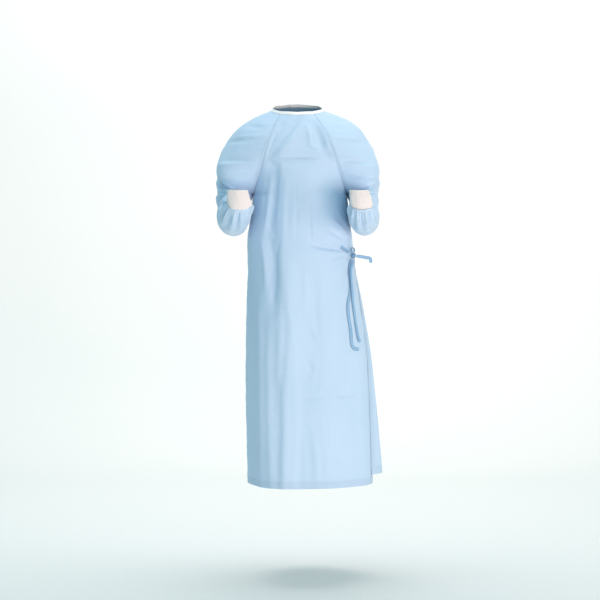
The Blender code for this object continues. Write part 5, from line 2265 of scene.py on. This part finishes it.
@dataclass
class Studio:
    """The pale sweep, the soft lights and the camera."""

    eye: Triple = (0.0, -4.0, -0.589)
    lens: float = 76.56
    sensor: float = 36.0
    front: Pair = (-6.0, -2.0)
    half_width: float = 6.0
    back: float = 2.2
    curve: float = 1.2
    top: float = 3.0
    paper: PlainFinish = PlainFinish("pale_paper", (0.97, 0.94, 0.92), (0.95, 0.92, 0.90), 60.0, 2.0, 0.9)
    room_light: Triple = (0.57, 0.92, 1.0)
    room_seen: Triple = (1.55, 1.57, 1.6)
    room_strength: float = 0.58
    lamps: tuple[Lamp, ...] = (
        Lamp("key", (1.3, -4.4, -1.1), (0.0, 0.0, -0.7), (2.2, 0.7), 114, (1.0, 0.73, 0.64)),
        Lamp("side", (3.8, -2.6, -0.9), (0.0, 0.0, -0.7), (3.0, 1.0), 47, (1.0, 0.75, 0.66)),
        Lamp("wall_wash", (0.0, 0.4, 2.4), (0.0, 3.4, -0.2), (2.4, 2.4), 85, (1.0, 0.90, 0.86)),
    )

    def sweep(self) -> bpy.types.Object:
        """Builds a floor that curves up into a wall.

        Returns:
            The sweep.
        """
        turn = np.linspace(0, np.pi / 2, 24)
        floor = [(y, FLOOR) for y in (*self.front, 0.0)]
        bend = [(self.back + self.curve * np.sin(a), FLOOR + self.curve * (1 - np.cos(a))) for a in turn]
        profile = np.array([*floor, *bend, (self.back + self.curve, self.top)])
        x = np.linspace(-self.half_width, self.half_width, 9)
        grid = combine(x[None], profile[:, :1], profile[:, 1:])
        quads = quads_of(np.arange(x.size * len(profile)).reshape(len(profile), x.size), flip=True)
        mesh = bpy.data.meshes.new("studio_sweep")
        mesh.from_pydata(grid.reshape(-1, 3).tolist(), [], quads.tolist())
        mesh.shade_smooth()
        mesh.materials.append(self.paper.material())
        return link_piece("studio_sweep", mesh)

    def build(self) -> None:
        """Sets the stage, the lights and the camera."""
        self.sweep()
        world = bpy.data.worlds.new("soft_room")
        world.use_nodes = True
        wire = Wiring(world.node_tree)
        seen = wire.add("ShaderNodeLightPath").outputs["Is Camera Ray"]
        colour = wire.blend(seen, (*self.room_light, 1), (*self.room_seen, 1))
        wire.feed(world.node_tree.nodes["Background"], {"Color": colour, "Strength": self.room_strength})
        scene = bpy.context.scene
        scene.world = world
        scene.view_settings.view_transform = "Standard"
        for lamp in self.lamps:
            lamp.build()
        view = bpy.data.cameras.new("camera")
        view.lens = self.lens
        view.sensor_width = self.sensor
        camera = link_piece("camera", view)
        camera.location = self.eye
        camera.rotation_euler = (np.pi / 2, 0.0, 0.0)
        scene.camera = camera


def main() -> None:
    """Builds the gown piece by piece, then the studio."""
    logging.basicConfig(level=logging.INFO, format="%(name)s: %(message)s")
    wardrobe = Wardrobe()
    form = GownForm()
    front, backs = FrontPanel(form), WrapBack(form)
    sleeves = (Sleeve(form, Side.RIGHT, 61), Sleeve(form, Side.LEFT, 81))
    panel, flap, under = front.shape(), backs.shape_flap(), backs.shape_under()
    right, left = (sleeve.shape() for sleeve in sleeves)
    share_directions([panel, flap, under, right, left])
    front.crease(panel)
    backs.crease_flap(flap)
    backs.crease_under(under)
    front.dress(panel, wardrobe.cloth)
    backs.dress(flap, under, wardrobe.cloth)
    for sleeve, cloth in zip(sleeves, (right, left)):
        sleeve.crease(cloth)
        sleeve.dress(cloth, wardrobe.cloth)
    for side in Side:
        KnitCuff(side, wardrobe.knit).dress()
    binding = NeckBinding(wardrobe.tape, [(under, 1), (left, -1), (panel, -1), (right, 1), (flap, 1)])
    binding.dress()
    NeckTab(wardrobe.tape).dress(under, form.plan)
    WaistTie(panel, flap, wardrobe.tie).dress()
    hems = [hem_line(cloth, HEM_STITCHES) for cloth in (panel, flap, under)]
    edge = column_line(flap, LAST_SEAM, FREE_ROWS, -FREE_ROWS)
    StitchRun("hem_stitches", "cloth").dress([*hems, edge], wardrobe.blue_thread)
    sides = ((panel, FIRST_SEAM), (panel, LAST_SEAM), (flap, FIRST_SEAM), (under, LAST_SEAM))
    seams = [column_line(cloth, column, FREE_ROWS, form.plan.yoke - 2) for cloth, column in sides]
    StitchRun("seam_stitches", "cloth").dress(seams, wardrobe.blue_thread)
    white = [binding.sewn(), ring_line(right, -FREE_ROWS), ring_line(left, -FREE_ROWS)]
    StitchRun("white_stitches", "binding", 0.0026, 0.0017, 0.0003).dress(white, wardrobe.white_thread)
    Studio().build()


if __name__ == "__main__":
    main()
